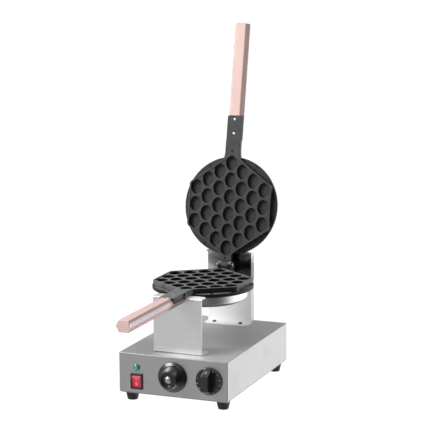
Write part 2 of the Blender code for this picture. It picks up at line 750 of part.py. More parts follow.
def make_handle(side, carrier):
    """One wooden half handle: six-sided, and stepped where the arm lies on it."""
    section = [(-HANDLE_FLAT, 0.0), (-HANDLE_HALF_W, -HANDLE_WIDEST), (-HANDLE_FLAT, -HANDLE_T),
               (HANDLE_FLAT, -HANDLE_T), (HANDLE_HALF_W, -HANDLE_WIDEST), (HANDLE_FLAT, 0.0)]
    length = HANDLE_END - HANDLE_START
    handle = slab(side + "_handle", section, length, (0.0, -(HANDLE_START + HANDLE_END) / 2, 0.0),
                  carrier, turn=FACE_FORWARD, material=WOOD)
    round_edges(handle, HANDLE_BEVEL, 1, math.radians(25))
    step_l = ARM_END - HANDLE_START + FIT
    step_h = SLAB_T + LAP + FIT
    step = block(side + "_handle_step", (3 * ARM_HALF_W, step_l + OVERRUN, step_h + OVERRUN),
                 (0.0, -HANDLE_START - (step_l - OVERRUN) / 2, (OVERRUN - step_h) / 2), carrier,
                 helper=True)
    cut(handle, step)
    for label, at in (("near", BOLT_NEAR), ("far", BOLT_FAR)):
        recess_h = NUT_H + 2 * FIT
        recess = rod(f"{side}_{label}_nut_recess", NUT_RECESS_R, recess_h + OVERRUN,
                     (0.0, -at, -HANDLE_T + (recess_h - OVERRUN) / 2), carrier,
                     (0.0, 0.0, 0.0), COARSE, helper=True)
        cut(handle, bolt_clearance(f"{side}_{label}_wood_hole", at, carrier), recess)
    return handle


def make_bolt(side, label, at, carrier):
    """A countersunk bolt through arm and handle, and the nut in the wood's back."""
    tip = -HANDLE_T + FIT
    turned(f"{side}_handle_bolt_{label}", [
        (0.0, 0.0), (BOLT_HEAD_R, 0.0), (BOLT_HEAD_R, -FIT), (BOLT_R, -BOLT_HEAD_H),
        (BOLT_R, tip), (0.0, tip)],
        (0.0, -at, 0.0), carrier, (0.0, 0.0, 0.0), BRIGHT_STEEL, COARSE)
    hex_nut(f"{side}_handle_nut_{label}", NUT_R, NUT_H, BOLT_R + FIT,
            (0.0, -at, tip + NUT_H / 2), carrier, (0.0, 0.0, 0.0), BRIGHT_STEEL)


def hex_nut(name, radius, height, bore, middle, carrier, turn, material):
    """A six-sided nut with a round bore."""
    nut = rod(name, radius, height, middle, carrier, turn, HEX_SIDES, material)
    cut(nut, rod(name + "_bore", bore, 2 * height, middle, carrier, turn, MEDIUM, helper=True))
    return nut


def make_half(side, carrier, is_lid):
    """Everything that belongs to one half of the iron."""
    make_plate(side, carrier, is_lid)
    make_heater(side, carrier)
    make_cover(side, carrier)
    make_cover_screw(side, carrier)
    make_handle(side, carrier)
    make_bolt(side, "near", BOLT_NEAR, carrier)
    make_bolt(side, "far", BOLT_FAR, carrier)


def make_hinge_pin(carrier):
    """The pin through lugs and knuckle, headed on the right and ringed on the left."""
    half = PIN_HALF_L
    return turned("hinge_pin", [
        (0.0, half), (PIN_HEAD_R * CROWN_SHARE, half), (PIN_HEAD_R, half - PIN_HEAD_L / 2),
        (PIN_HEAD_R, half - PIN_HEAD_L), (PIN_R, half - PIN_HEAD_L), (PIN_R, -half),
        (0.0, -half)],
        (0.0, HINGE_REACH, HINGE_RISE), carrier, ALONG_X, BRIGHT_STEEL, COARSE)


def make_spindle(carrier):
    """The hollow spindle on the lower half's boss, which turns in the rear bracket."""
    front = BOSS_BACK + FIT
    flange_end = front + SPINDLE_FLANGE_T
    end = REAR_Y - PAN_Y + BRACKET_SHEET + SPINDLE_TAIL
    spindle = turned("spindle", [
        (SPINDLE_FLANGE_R, -front), (SPINDLE_FLANGE_R, -flange_end), (SPINDLE_R, -flange_end),
        (SPINDLE_R, -end), (SPINDLE_BORE_R, -end), (SPINDLE_BORE_R, -front)],
        (0.0, 0.0, 0.0), carrier, FACE_FORWARD, BRIGHT_STEEL)
    ring_front = REAR_Y - PAN_Y + BRACKET_SHEET + BUSH_TAIL + RUNNING_FIT
    turned("spindle_ring", [
        (RING_R, -ring_front), (RING_R, -ring_front - RING_T),
        (SPINDLE_R + FIT, -ring_front - RING_T), (SPINDLE_R + FIT, -ring_front)],
        (0.0, 0.0, 0.0), carrier, FACE_FORWARD, BRIGHT_STEEL)
    return spindle


def make_housing(carrier):
    """The folded housing, open below between its lips, with all its holes."""
    shape = bmesh.new()
    bmesh.ops.create_cube(shape, size=1.0)
    bmesh.ops.scale(shape, vec=(BASE_W, BASE_D, BASE_H), verts=shape.verts)
    floor = [face for face in shape.faces if face.normal.z < -0.5]
    bmesh.ops.inset_region(shape, faces=floor, thickness=BASE_LIP, use_even_offset=True)
    bmesh.ops.delete(shape, geom=floor, context="FACES_ONLY")
    housing = from_bmesh("base_housing", shape, carrier,
                         (0.0, BASE_D / 2, BASE_Z + BASE_H / 2), (0.0, 0.0, 0.0), STAINLESS,
                         False)
    round_edges(housing, BASE_BEND, 2)
    thick = housing.modifiers.new("sheet", "SOLIDIFY")
    thick.thickness = SHEET
    thick.offset = -1.0
    thick.use_even_offset = True
    through = 4 * SHEET
    cut(housing, block("switch_cutout", (SWITCH_BODY_W + 2 * FIT, through, SWITCH_BODY_H + 2 * FIT),
                       (SWITCH_X, SHEET / 2, SWITCH_Z), carrier, helper=True))
    for name, x, z, radius in (("lamp_cutout", LAMP_X, LAMP_Z, LAMP_R + FIT),
                               ("thermostat_cutout", THERMO_X, KNOB_Z, PANEL_HOLE_R),
                               ("timer_cutout", TIMER_X, KNOB_Z, PANEL_HOLE_R)):
        cut(housing, rod(name, radius, through, (x, SHEET / 2, z), carrier,
                         FACE_FORWARD, COARSE, helper=True))
    cut(housing, rod("gland_cutout", GLAND_R + FIT, through,
                     (GLAND_X, BASE_D - SHEET / 2, FOOT_H + GLAND_Z), carrier, FACE_FORWARD,
                     MEDIUM, helper=True))
    cut(housing, rod("grommet_cutout", GROMMET_R + FIT, through,
                     (0.0, GROMMET_Y, BASE_TOP - SHEET / 2), carrier, (0.0, 0.0, 0.0), MEDIUM,
                     helper=True))
    for number, (x, y) in enumerate(bracket_screw_places()):
        cut(housing, rod(f"bracket_screw_cutout_{number}", M4_R + FIT, through,
                         (x, y, BASE_TOP - SHEET / 2), carrier, (0.0, 0.0, 0.0), COARSE,
                         helper=True))
    for number, (x, y) in enumerate(foot_places()):
        cut(housing, rod(f"lip_cutout_{number}", M4_R + FIT, through,
                         (x, y, BASE_Z + SHEET / 2), carrier, (0.0, 0.0, 0.0), COARSE,
                         helper=True))
    for number in range(BACK_VENTS):
        z = KNOB_Z + (number - (BACK_VENTS - 1) / 2) * 2 * VENT_W
        cut(housing, block(f"back_vent_{number}", (BACK_VENT_L, through, VENT_W),
                           (BACK_VENT_X, BASE_D - SHEET / 2, z), carrier, helper=True))
    return housing


def foot_places():
    """The four corners where feet and their screws sit."""
    x = BASE_W / 2 - FOOT_INSET_X
    return [(side * x, y) for y in (FOOT_INSET_Y, BASE_D - FOOT_INSET_Y) for side in (-1, 1)]


def bracket_screw_places():
    """The screws of the front bracket, then those of the rear bracket."""
    front_y = FRONT_Y + BRACKET_SHEET + FRONT_FOOT / 2
    rear_y = REAR_Y - REAR_FOOT / 2
    return [(-FRONT_SCREW_X, front_y), (FRONT_SCREW_X, front_y), (-REAR_SCREW_X, rear_y),
            (REAR_SCREW_X, rear_y)]


def make_bottom(carrier):
    """The flat plate that closes the base, with vents and holes for the feet's screws."""
    width = BASE_W - 2 * BOTTOM_INSET
    depth = BASE_D - 2 * BOTTOM_INSET
    plate = block("bottom_plate", (width, depth, BOTTOM_SHEET),
                  (0.0, BASE_D / 2, FOOT_H + FIT + BOTTOM_SHEET / 2), carrier, STAINLESS)
    for number, (x, y) in enumerate(foot_places()):
        cut(plate, rod(f"bottom_screw_hole_{number}", M4_R + FIT, 4 * BOTTOM_SHEET,
                       (x, y, FOOT_H + BOTTOM_SHEET), carrier, (0.0, 0.0, 0.0), COARSE,
                       helper=True))
    for number in range(BOTTOM_VENTS):
        y = BASE_D / 2 + (number - (BOTTOM_VENTS - 1) / 2) * VENT_PITCH
        cut(plate, block(f"bottom_vent_{number}", (VENT_L, VENT_W, 4 * BOTTOM_SHEET),
                         (VENT_L, y, FOOT_H + BOTTOM_SHEET), carrier, helper=True))
    return plate


def make_feet(carrier):
    """Four tapered rubber feet with the screws that hold them, the plate and the lips."""
    labels = ("front_left", "front_right", "rear_left", "rear_right")
    bore = M4_R + FIT
    for label, (x, y) in zip(labels, foot_places()):
        turned("foot_" + label, [
            (FOOT_TOP_R, FOOT_H), (FOOT_TOP_R, FOOT_H - FOOT_ROUND),
            (FOOT_BOTTOM_R, FOOT_ROUND), (FOOT_BOTTOM_R - FOOT_ROUND, 0.0),
            (FOOT_RECESS_R, 0.0), (FOOT_RECESS_R, FOOT_RECESS_H), (bore, FOOT_RECESS_H),
            (bore, FOOT_H)],
            (x, y, 0.0), carrier, (0.0, 0.0, 0.0), BLACK_RUBBER)
        pan_screw("foot_screw_" + label, (x, y, FOOT_RECESS_H - FIT), math.pi,
                  BASE_Z + SHEET - FOOT_RECESS_H + M4_HEAD_H, carrier)


def pan_screw(name, seat, turn_x, length, carrier):
    """A round-headed screw whose head rests on its seat and whose shank runs down from it."""
    return turned(name, [
        (0.0, M4_HEAD_H), (M4_HEAD_R * CROWN_SHARE, M4_HEAD_H), (M4_HEAD_R, M4_HEAD_H / 2),
        (M4_HEAD_R, 0.0), (M4_R, 0.0), (M4_R, -length), (0.0, -length)],
        seat, carrier, (turn_x, 0.0, 0.0), BRIGHT_STEEL, COARSE)


def make_front_bracket(carrier):
    """The front channel with its round notch."""
    foot_z = BASE_TOP + FIT
    bracket = sheet_channel("front_bracket", [
        (FRONT_Y + FRONT_FOOT, foot_z), (FRONT_Y, foot_z), (FRONT_Y, FRONT_TOP_Z),
        (FRONT_Y + FRONT_TOP, FRONT_TOP_Z)], FRONT_W, carrier, FRONT_CORNER)
    notch = rod("front_notch", JOURNAL_R + RUNNING_FIT, 2 * FRONT_TOP + 2 * OVERRUN,
                (0.0, FRONT_Y + FRONT_TOP / 2, MATE_Z), carrier, FACE_FORWARD, FINE,
                helper=True)
    cut(bracket, notch)
    return bracket


def make_rear_bracket(carrier):
    """The rear channel, with side returns, the gap for the lid and the hole for the bush."""
    foot_z = BASE_TOP + FIT
    back_y = REAR_Y + BRACKET_SHEET
    bracket = sheet_channel("rear_bracket", [
        (REAR_Y - REAR_TOP, REAR_TOP_Z), (back_y, REAR_TOP_Z), (back_y, foot_z),
        (REAR_Y - REAR_FOOT, foot_z)], REAR_W, carrier, REAR_CORNER)
    return_h = REAR_TOP_Z - foot_z - 3 * BRACKET_BEND
    return_l = REAR_RETURN - BRACKET_SHEET / 2
    for label, side in (("left", -1), ("right", 1)):
        wall = block(f"{label}_return", (BRACKET_SHEET, return_l, return_h),
                     (side * ((REAR_W - BRACKET_SHEET) / 2 - LAP / 2), REAR_Y + REAR_RETURN - return_l / 2,
                      (REAR_TOP_Z + foot_z) / 2), carrier, helper=True)
        join(bracket, wall)
    gap = block("rear_gap", (REAR_NOTCH_W, REAR_TOP, 4 * BRACKET_SHEET),
                (0.0, REAR_Y - REAR_TOP / 2 - BRACKET_BEND, REAR_TOP_Z), carrier, helper=True)
    hole = rod("bush_hole", BUSH_R + FIT, 4 * BRACKET_SHEET,
               (0.0, REAR_Y + BRACKET_SHEET / 2, MATE_Z), carrier, FACE_FORWARD, MEDIUM,
               helper=True)
    cut(bracket, gap, hole)
    return bracket


def make_bracket_screws(carrier, front_bracket, rear_bracket):
    """The screws through the feet of both brackets into the housing's top."""
    names = ("front_bracket_screw_left", "front_bracket_screw_right",
             "rear_bracket_screw_left", "rear_bracket_screw_right")
    brackets = (front_bracket, front_bracket, rear_bracket, rear_bracket)
    top = BASE_TOP + FIT + BRACKET_SHEET
    for name, bracket, (x, y) in zip(names, brackets, bracket_screw_places()):
        cut(bracket, rod(name + "_hole", M4_R + FIT, 4 * BRACKET_SHEET,
                         (x, y, top - BRACKET_SHEET / 2), carrier, (0.0, 0.0, 0.0), COARSE,
                         helper=True))
        pan_screw(name, (x, y, top + FIT), 0.0, BRACKET_SHEET + SHEET + 4 * BRACKET_SHEET,
                  carrier)


def make_bush(carrier):
    """The bronze bush in the rear bracket."""
    front = REAR_Y - FIT - BUSH_FLANGE_T
    bore = SPINDLE_R + FIT
    end = REAR_Y + BRACKET_SHEET + BUSH_TAIL
    return turned("spindle_bush", [
        (BUSH_FLANGE_R, 0.0), (BUSH_FLANGE_R, -BUSH_FLANGE_T), (BUSH_R, -BUSH_FLANGE_T),
        (BUSH_R, front - end), (bore, front - end), (bore, 0.0)],
        (0.0, front, MATE_Z), carrier, FACE_FORWARD, BRONZE)


def make_lamp(carrier):
    """The pilot lamp: a domed lens, and the body with its nut behind the panel."""
    z = LAMP_Z
    dome = [(LAMP_LENS_R * math.sin(angle), LAMP_LENS_RIM
             + (LAMP_LENS_H - LAMP_LENS_RIM) * math.cos(angle))
            for angle in (math.pi / 2 * step / 5 for step in range(6))]
    turned("pilot_lamp_lens", [*dome, (LAMP_LENS_R, FIT), (0.0, FIT)], (LAMP_X, 0.0, z),
           carrier, FACE_FORWARD, GREEN_LENS)
    turned("pilot_lamp_body", [
        (0.0, 0.0), (LAMP_R, 0.0), (LAMP_R, -SHEET - FIT), (LAMP_NUT_R, -SHEET - FIT),
        (LAMP_NUT_R, -SHEET - FIT - LAMP_NUT_T), (LAMP_R, -SHEET - FIT - LAMP_NUT_T),
        (LAMP_R, -LAMP_BODY_L), (0.0, -LAMP_BODY_L)],
        (LAMP_X, 0.0, z), carrier, FACE_FORWARD, BLACK_PLASTIC, COARSE)


def make_switch(carrier, pivot):
    """The rocker switch: the housing with its bezel, and the rocker on its own pivot."""
    z = SWITCH_Z
    pocket_w = SWITCH_BODY_W - 2 * SWITCH_WALL
    pocket_h = SWITCH_BODY_H - 2 * SWITCH_WALL
    housing = block("switch_housing", (SWITCH_BODY_W, SWITCH_BODY_L, SWITCH_BODY_H),
                    (SWITCH_X, SWITCH_BODY_L / 2 - LAP - FIT, z), carrier, BLACK_PLASTIC)
    bezel = block("switch_bezel", (SWITCH_BEZEL_W, SWITCH_BEZEL_T, SWITCH_BEZEL_H),
                  (SWITCH_X, -FIT - SWITCH_BEZEL_T / 2, z), carrier, helper=True)
    pocket = block("switch_pocket", (pocket_w, SWITCH_POCKET + SWITCH_BEZEL_T + OVERRUN, pocket_h),
                   (SWITCH_X, (SWITCH_POCKET - SWITCH_BEZEL_T - OVERRUN) / 2, z), carrier,
                   helper=True)
    join(housing, bezel)
    cut(housing, pocket)
    half_w = pocket_w / 2 - ROCKER_CLEAR_W
    half_h = pocket_h / 2 - ROCKER_CLEAR_H
    front = -ROCKER_PIVOT - ROCKER_PROUD
    back = front + ROCKER_T
    middle = front + half_h * math.tan(ROCKER_TILT)
    section = [(back, -half_h), (back, half_h), (front, half_h), (middle, 0.0), (front, -half_h)]
    return slab("rocker", section, 2 * half_w, (0.0, 0.0, 0.0), pivot,
                turn=(math.pi / 2, 0.0, math.pi / 2), material=RED_PLASTIC)


def make_thermostat(carrier, turning):
    """The thermostat: its body behind the panel, then skirt, grip and cap on the shaft."""
    z = KNOB_Z
    behind = SHEET + FIT
    turned("thermostat_body", [
        (0.0, -behind), (THERMO_BODY_R, -behind), (THERMO_BODY_R, -behind - THERMO_BODY_L),
        (0.0, -behind - THERMO_BODY_L)],
        (THERMO_X, 0.0, z), carrier, FACE_FORWARD, BRIGHT_STEEL)
    socket = SHAFT_R + FIT
    back = SKIRT_GAP
    front = back + SKIRT_T
    turned("thermostat_skirt", [
        (SKIRT_FRONT_R, front), (SKIRT_R, back + SKIRT_EDGE), (SKIRT_R, back), (socket, back),
        (socket, front)],
        (0.0, 0.0, 0.0), turning, FACE_FORWARD, BLACK_PLASTIC, FINE)
    foot = front + FIT
    top = foot + GRIP_H
    dish = top - GRIP_DISH_DEPTH
    turned("thermostat_grip", [
        (0.0, dish), (GRIP_DISH_R, dish), (GRIP_DISH_R, top), (GRIP_FRONT_R - GRIP_ROUND, top),
        (GRIP_FRONT_R, top - GRIP_ROUND), (GRIP_R, foot), (socket, foot),
        (socket, SHAFT_SOCKET_L), (0.0, SHAFT_SOCKET_L)],
        (0.0, 0.0, 0.0), turning, FACE_FORWARD, BLACK_PLASTIC, FINE)
    seat = dish + FIT
    turned("thermostat_cap", [
        (0.0, seat + CAP_H), (CAP_R - CAP_ROUND, seat + CAP_H), (CAP_R, seat + CAP_H - CAP_ROUND),
        (CAP_R, seat), (0.0, seat)],
        (0.0, 0.0, 0.0), turning, FACE_FORWARD, SATIN_CAP)
    make_shaft("thermostat_shaft", turning)


def make_timer(carrier, turning):
    """The timer: its body behind the panel, and the dial with its tapered bar grip."""
    z = KNOB_Z
    behind = SHEET + FIT
    block("timer_body", (TIMER_BODY_W, TIMER_BODY_L, TIMER_BODY_H),
          (TIMER_X, behind + TIMER_BODY_L / 2, z), carrier, BRIGHT_STEEL)
    socket = SHAFT_R + FIT
    back = SKIRT_GAP
    front = back + DIAL_T
    dial = turned("timer_knob", [
        (0.0, front), (DIAL_FRONT_R, front), (DIAL_R, front - DIAL_T / 2), (DIAL_R, back),
        (socket, back), (socket, SHAFT_SOCKET_L), (0.0, SHAFT_SOCKET_L)],
        (0.0, 0.0, 0.0), turning, FACE_FORWARD, BLACK_PLASTIC, FINE)
    top = -front - BAR_H
    side = [(LAP - front, -BAR_HALF_L), (LAP - front, BAR_HALF_L), (top, BAR_FRONT_HALF_L),
            (top, -BAR_FRONT_HALF_L)]
    bar = slab("timer_bar", side, BAR_W, (0.0, 0.0, 0.0), turning,
               turn=(math.pi / 2, 0.0, math.pi / 2), helper=True)
    round_edges(bar, BAR_ROUND, 2)
    bore = rod("timer_bore", socket, SHAFT_SOCKET_L + OVERRUN,
               (0.0, (OVERRUN - SHAFT_SOCKET_L) / 2, 0.0), turning, FACE_FORWARD, COARSE,
               helper=True)
    join(dial, bar)
    cut(dial, bore)
    make_shaft("timer_shaft", turning)


def make_shaft(name, turning):
    """The spindle of a knob, from behind the panel into the knob's socket."""
    behind = SHEET
    rod(name, SHAFT_R, SHAFT_L + behind, (0.0, (behind - SHAFT_L) / 2, 0.0), turning,
        FACE_FORWARD, COARSE, BRIGHT_STEEL)


def make_gland(carrier):
    """The cable gland at the back, with its nut inside the housing."""
    tip = FIT + GLAND_FLANGE_T + GLAND_NECK_L
    place = (GLAND_X, BASE_D, FOOT_H + GLAND_Z)
    turned("cable_gland", [
        (GLAND_NECK_R, tip), (GLAND_NECK_R, FIT + GLAND_FLANGE_T),
        (GLAND_FLANGE_R, FIT + GLAND_FLANGE_T), (GLAND_FLANGE_R, FIT), (GLAND_R, FIT),
        (GLAND_R, -GLAND_TAIL), (GLAND_BORE_R, -GLAND_TAIL), (GLAND_BORE_R, tip)],
        place, carrier, FACE_BACKWARD, BLACK_PLASTIC)
    nut_y = BASE_D - SHEET - FIT - GLAND_FLANGE_T / 2
    hex_nut("cable_gland_nut", GLAND_FLANGE_R, GLAND_FLANGE_T, GLAND_R + FIT,
            (GLAND_X, nut_y, FOOT_H + GLAND_Z), carrier, FACE_BACKWARD, BLACK_PLASTIC)


def make_grommet(carrier):
    """The bush that guides the sleeved leads through the housing's top."""
    low = -SHEET - FIT
    return turned("lead_grommet", [
        (GROMMET_FLANGE_R, FIT + GROMMET_FLANGE_T), (GROMMET_FLANGE_R, FIT),
        (GROMMET_R, FIT), (GROMMET_R, low), (GROMMET_FLANGE_R, low),
        (GROMMET_FLANGE_R, low - GROMMET_FLANGE_T), (GROMMET_BORE_R, low - GROMMET_FLANGE_T),
        (GROMMET_BORE_R, FIT + GROMMET_FLANGE_T)],
        (0.0, GROMMET_Y, BASE_TOP), carrier, (0.0, 0.0, 0.0), BLACK_RUBBER)


def make_terminal_block(carrier):
    """The terminal block on the bottom plate, bored through for its three poles."""
    body = block("terminal_block", (BLOCK_W, BLOCK_D, BLOCK_H),
                 (BLOCK_X, BLOCK_Y, BASE_Z + BLOCK_H / 2), carrier, WHITE_PLASTIC)
    for number, offset in enumerate(BLOCK_POLES):
        cut(body, rod(f"pole_bore_{number}", BLOCK_BORE_R, BLOCK_D + 2 * OVERRUN,
                      (BLOCK_X + offset, BLOCK_Y, BASE_Z + BLOCK_H / 2), carrier,
                      FACE_FORWARD, COARSE, helper=True))
    return body


def make_leads(carrier):
    """The leads from the terminal block to switch, thermostat and timer, and up to the iron."""
    pole_z = BASE_Z + BLOCK_H / 2
    pole_y = BLOCK_Y - BLOCK_D / 4
    front_y = BLOCK_Y - BLOCK_D / 2 - LEAD_RUN
    behind = SHEET + 2 * FIT
    targets = (
        ("switch_lead", SWITCH_X, SWITCH_BODY_L - LAP, SWITCH_Z),
        ("thermostat_lead", THERMO_X, behind + THERMO_BODY_L, KNOB_Z),
        ("timer_lead", TIMER_X, behind + TIMER_BODY_L, KNOB_Z),
    )
    for offset, (name, x, y, z) in zip(BLOCK_POLES, targets):
        start_x = BLOCK_X + offset
        route = [(start_x, pole_y, pole_z), (start_x, front_y, pole_z),
                 ((start_x + x) / 2, (front_y + y) / 2, LEAD_LAY), (x, y + LEAD_RUN, z),
                 (x, y, z)]
        wire(name, smooth_route(route, LEAD_STEPS), LEAD_R, carrier, BLACK_PLASTIC)
    rise = [
        (BLOCK_X, BLOCK_Y + BLOCK_D / 2 + FIT, pole_z),
        (BLOCK_X, BLOCK_Y + BLOCK_D / 2 + LEAD_RUN / 3, pole_z),
        (BLOCK_X, BLOCK_Y + BLOCK_D / 2 + LEAD_RUN, pole_z),
        (BLOCK_X / 3, GROMMET_Y - LEAD_RUN, BASE_TOP / 2),
        (0.0, GROMMET_Y, BASE_TOP - LEAD_RUN),
        (0.0, GROMMET_Y, BASE_TOP - LEAD_RUN / 3),
        (0.0, GROMMET_Y, BASE_TOP + LEAD_RUN / 3),
        (0.0, GROMMET_Y + SLEEVE_BULGE, (BASE_TOP + MATE_Z) / 2),
        (0.0, GROMMET_Y + SLEEVE_BULGE / 2, MATE_Z - LEAD_RUN / 2),
        (0.0, SLEEVE_END_Y + SLEEVE_STRAIGHT, MATE_Z),
        (0.0, SLEEVE_END_Y, MATE_Z),
    ]
    wire("heater_sleeve", smooth_route(rise, LEAD_STEPS), SLEEVE_R, carrier, SLEEVING, 2)


def main():
    """Build the machine."""
    machine = empty("machine", (0.0, -MIDDLE_Y, 0.0))
    iron = empty("iron_axis", (0.0, PAN_Y, MATE_Z), machine)
    hinge = empty("lid_axis", (0.0, HINGE_Y, HINGE_Z), machine, (-OPEN_ANGLE, 0.0, 0.0))
    lid = empty("lid_frame", (0.0, -HINGE_REACH, LID_GAP - HINGE_RISE), hinge,
                (0.0, math.pi, 0.0))
    make_housing(machine)
    make_bottom(machine)
    make_feet(machine)
    front_bracket = make_front_bracket(machine)
    rear_bracket = make_rear_bracket(machine)
    make_bracket_screws(machine, front_bracket, rear_bracket)
    make_bush(machine)
    make_lamp(machine)
    make_half("lower", iron, False)
    make_half("upper", lid, True)
    make_hinge_pin(iron)
    make_spindle(iron)
    make_switch(machine, empty("rocker_axis", (SWITCH_X, ROCKER_PIVOT, SWITCH_Z),
                               machine, (ROCKER_TILT, 0.0, 0.0)))
    make_thermostat(machine, empty("thermostat_axis", (THERMO_X, 0.0, KNOB_Z), machine))
    make_timer(machine, empty("timer_axis", (TIMER_X, 0.0, KNOB_Z), machine))
    make_gland(machine)
    make_grommet(machine)
    make_terminal_block(machine)
    make_leads(machine)


main()
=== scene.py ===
"""Looks of the bubble waffle maker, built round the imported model.

Lengths are metres.  Each piece is modelled in the frame of what carries it: the device frame has
the base's front face at y = 0, an iron half has its mating plane at z = 0 and its arm towards -y,
and a control has its shaft along +z.
"""

import json
from math import cos, pi, radians, sin, sqrt, tan, tau

import bmesh
import bpy
from mathutils import Matrix, Vector


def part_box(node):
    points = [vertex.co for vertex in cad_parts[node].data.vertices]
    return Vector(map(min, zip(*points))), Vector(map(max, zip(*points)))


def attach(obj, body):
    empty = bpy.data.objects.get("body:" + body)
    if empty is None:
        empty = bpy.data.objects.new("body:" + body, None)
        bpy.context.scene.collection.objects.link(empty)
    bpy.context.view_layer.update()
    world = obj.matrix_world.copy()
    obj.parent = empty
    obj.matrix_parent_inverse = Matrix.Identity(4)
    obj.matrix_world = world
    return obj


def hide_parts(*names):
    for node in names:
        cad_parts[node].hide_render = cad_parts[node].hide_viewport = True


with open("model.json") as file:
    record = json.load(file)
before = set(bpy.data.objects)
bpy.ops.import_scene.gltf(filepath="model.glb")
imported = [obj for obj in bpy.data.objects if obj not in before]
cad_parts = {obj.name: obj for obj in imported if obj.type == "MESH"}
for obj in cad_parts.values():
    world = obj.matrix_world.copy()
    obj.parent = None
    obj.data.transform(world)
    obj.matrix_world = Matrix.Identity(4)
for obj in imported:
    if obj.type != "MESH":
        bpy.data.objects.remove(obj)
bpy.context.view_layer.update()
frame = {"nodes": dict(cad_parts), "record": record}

# ---- sizes, as in the model
BASE_W, BASE_D, BASE_H, SHEET = 0.22, 0.328, 0.0764, 0.0012
BASE_Z, BASE_TOP = 0.0191, 0.0955
BASE_BEND, BASE_LIP = 0.0022, 0.025
FOOT_H, FOOT_INSET = 0.0175, (0.0175, 0.0225)
FIT = 0.0003
PAN_Y, MATE_Z = 0.152, 0.214
HEX_HALF_W, HEX_APEX, HEX_CORNER = 0.0875, 0.1055, 0.01
CELL_ROW, CELL_COLUMN, CELL_COUNTS = 0.0341, 0.024, (3, 4, 5, 6, 5, 4, 3)
CELL_HALF_W, CELL_HALF_L, CELL_FLOOR, CELL_FLARE = 0.0121, 0.0151, 0.0095, 0.0005
RIM_W, RIM_H = 0.0035, 0.001
SLAB_T, HALF_T = 0.0105, 0.017
ARM_HALF_W, ARM_END, NECK_HALF_W, NECK_END = 0.015, 0.18, 0.0175, 0.108
HINGE_REACH, HINGE_RISE, LID_GAP, LID_LEAN = 0.1185, 0.004, 0.0003, 11.3
TONGUE_HALF_W, TONGUE_END = 0.013, 0.1093
KNUCKLE_R, KNUCKLE_HALF_W, LUG_INNER, LUG_OUTER = 0.008, 0.0067, 0.0072, 0.0142
HANDLE_START, HANDLE_END, HANDLE_T = 0.1315, 0.365, 0.022
HANDLE_HALF_W, HANDLE_FLAT, HANDLE_WIDEST = 0.016, 0.0095, 0.0105
BOLTS = (0.1445, 0.1724)
CONTROL_X = 0.07348
LAMP_Z, SWITCH_Z, KNOB_Z = 0.0684544, 0.0417908, 0.056536
LAMP_HOLE_R, SHAFT_HOLE_R, SHAFT_R, SHAFT_END = 0.0059, 0.0052, 0.0033, 0.0145
FRONT_Y, REAR_Y, FRONT_W, REAR_W = 0.0248, 0.293, 0.098, 0.093
SHEET_BRACKET, SCREW_R = 0.0015, 0.002
GLAND_X, GLAND_Z, GLAND_HOLE_R = -0.075, 0.0475, 0.0088
LEAD_Y, LEAD_HOLE_R = 0.315, 0.0071
VENT_X, VENT_PITCH, VENTS = 0.036, 0.008, 7

# ---- frames
def at(x, y, z):
    """A shift."""
    return Matrix.Translation((x, y, z))


def turn_about(axis, degrees):
    """A rotation."""
    return Matrix.Rotation(radians(degrees), 4, axis)


DEVICE = at(0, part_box("base_housing")[0][1], 0)
IRON = DEVICE @ at(0, PAN_Y, MATE_Z)
LID = (DEVICE @ at(0, PAN_Y + HINGE_REACH, MATE_Z + HINGE_RISE)
       @ turn_about("X", -90 - LID_LEAN) @ at(0, -HINGE_REACH, LID_GAP - HINGE_RISE)
       @ turn_about("Y", 180))
OUTWARD = turn_about("X", 90)        # own z towards the front, own y up
INWARD = turn_about("X", -90)
ACROSS = Matrix(((0, 0, 1, 0), (1, 0, 0, 0), (0, 1, 0, 0), (0, 0, 0, 1)))   # own z along x


def control(x, z):
    """The frame of a control on the front panel."""
    return DEVICE @ at(x, 0, z) @ OUTWARD


# ---- node trees
def rgb(tone):
    """A grey or a colour, as a socket takes it."""
    return (*tone, 1) if isinstance(tone, tuple) else (tone, tone, tone, 1)


def reckoning(operation, swapped=False):
    """A method that reckons with a wire and another value."""
    def method(self, other=0):
        pair = (other, self) if swapped else (self, other)
        return self.paint.node("Math", {"operation": operation}, dict(enumerate(pair)))
    return method


class Wire:
    """An output of a node, which can be reckoned with like a number."""

    def __init__(self, paint, socket):
        self.paint = paint
        self.socket = socket

    __add__ = __radd__ = reckoning("ADD")
    __mul__ = __rmul__ = reckoning("MULTIPLY")
    __sub__, __rsub__ = reckoning("SUBTRACT"), reckoning("SUBTRACT", True)
    __truediv__, __pow__ = reckoning("DIVIDE"), reckoning("POWER")
    size, sine, most = reckoning("ABSOLUTE"), reckoning("SINE"), reckoning("MAXIMUM")

    def wave(self):
        """A wave between zero and one."""
        return self.sine() * 0.5 + 0.5

    def step(self, low, high, first=0, last=1):
        """A soft step from the first value at low to the last value at high."""
        return self.paint.node("MapRange", {"interpolation_type": "SMOOTHSTEP"},
                               {"Value": self, "From Min": low, "From Max": high,
                                "To Min": first, "To Max": last})

    def drop(self, low, high):
        """A soft step from one at low to zero at high."""
        return self.step(low, high, 1, 0)


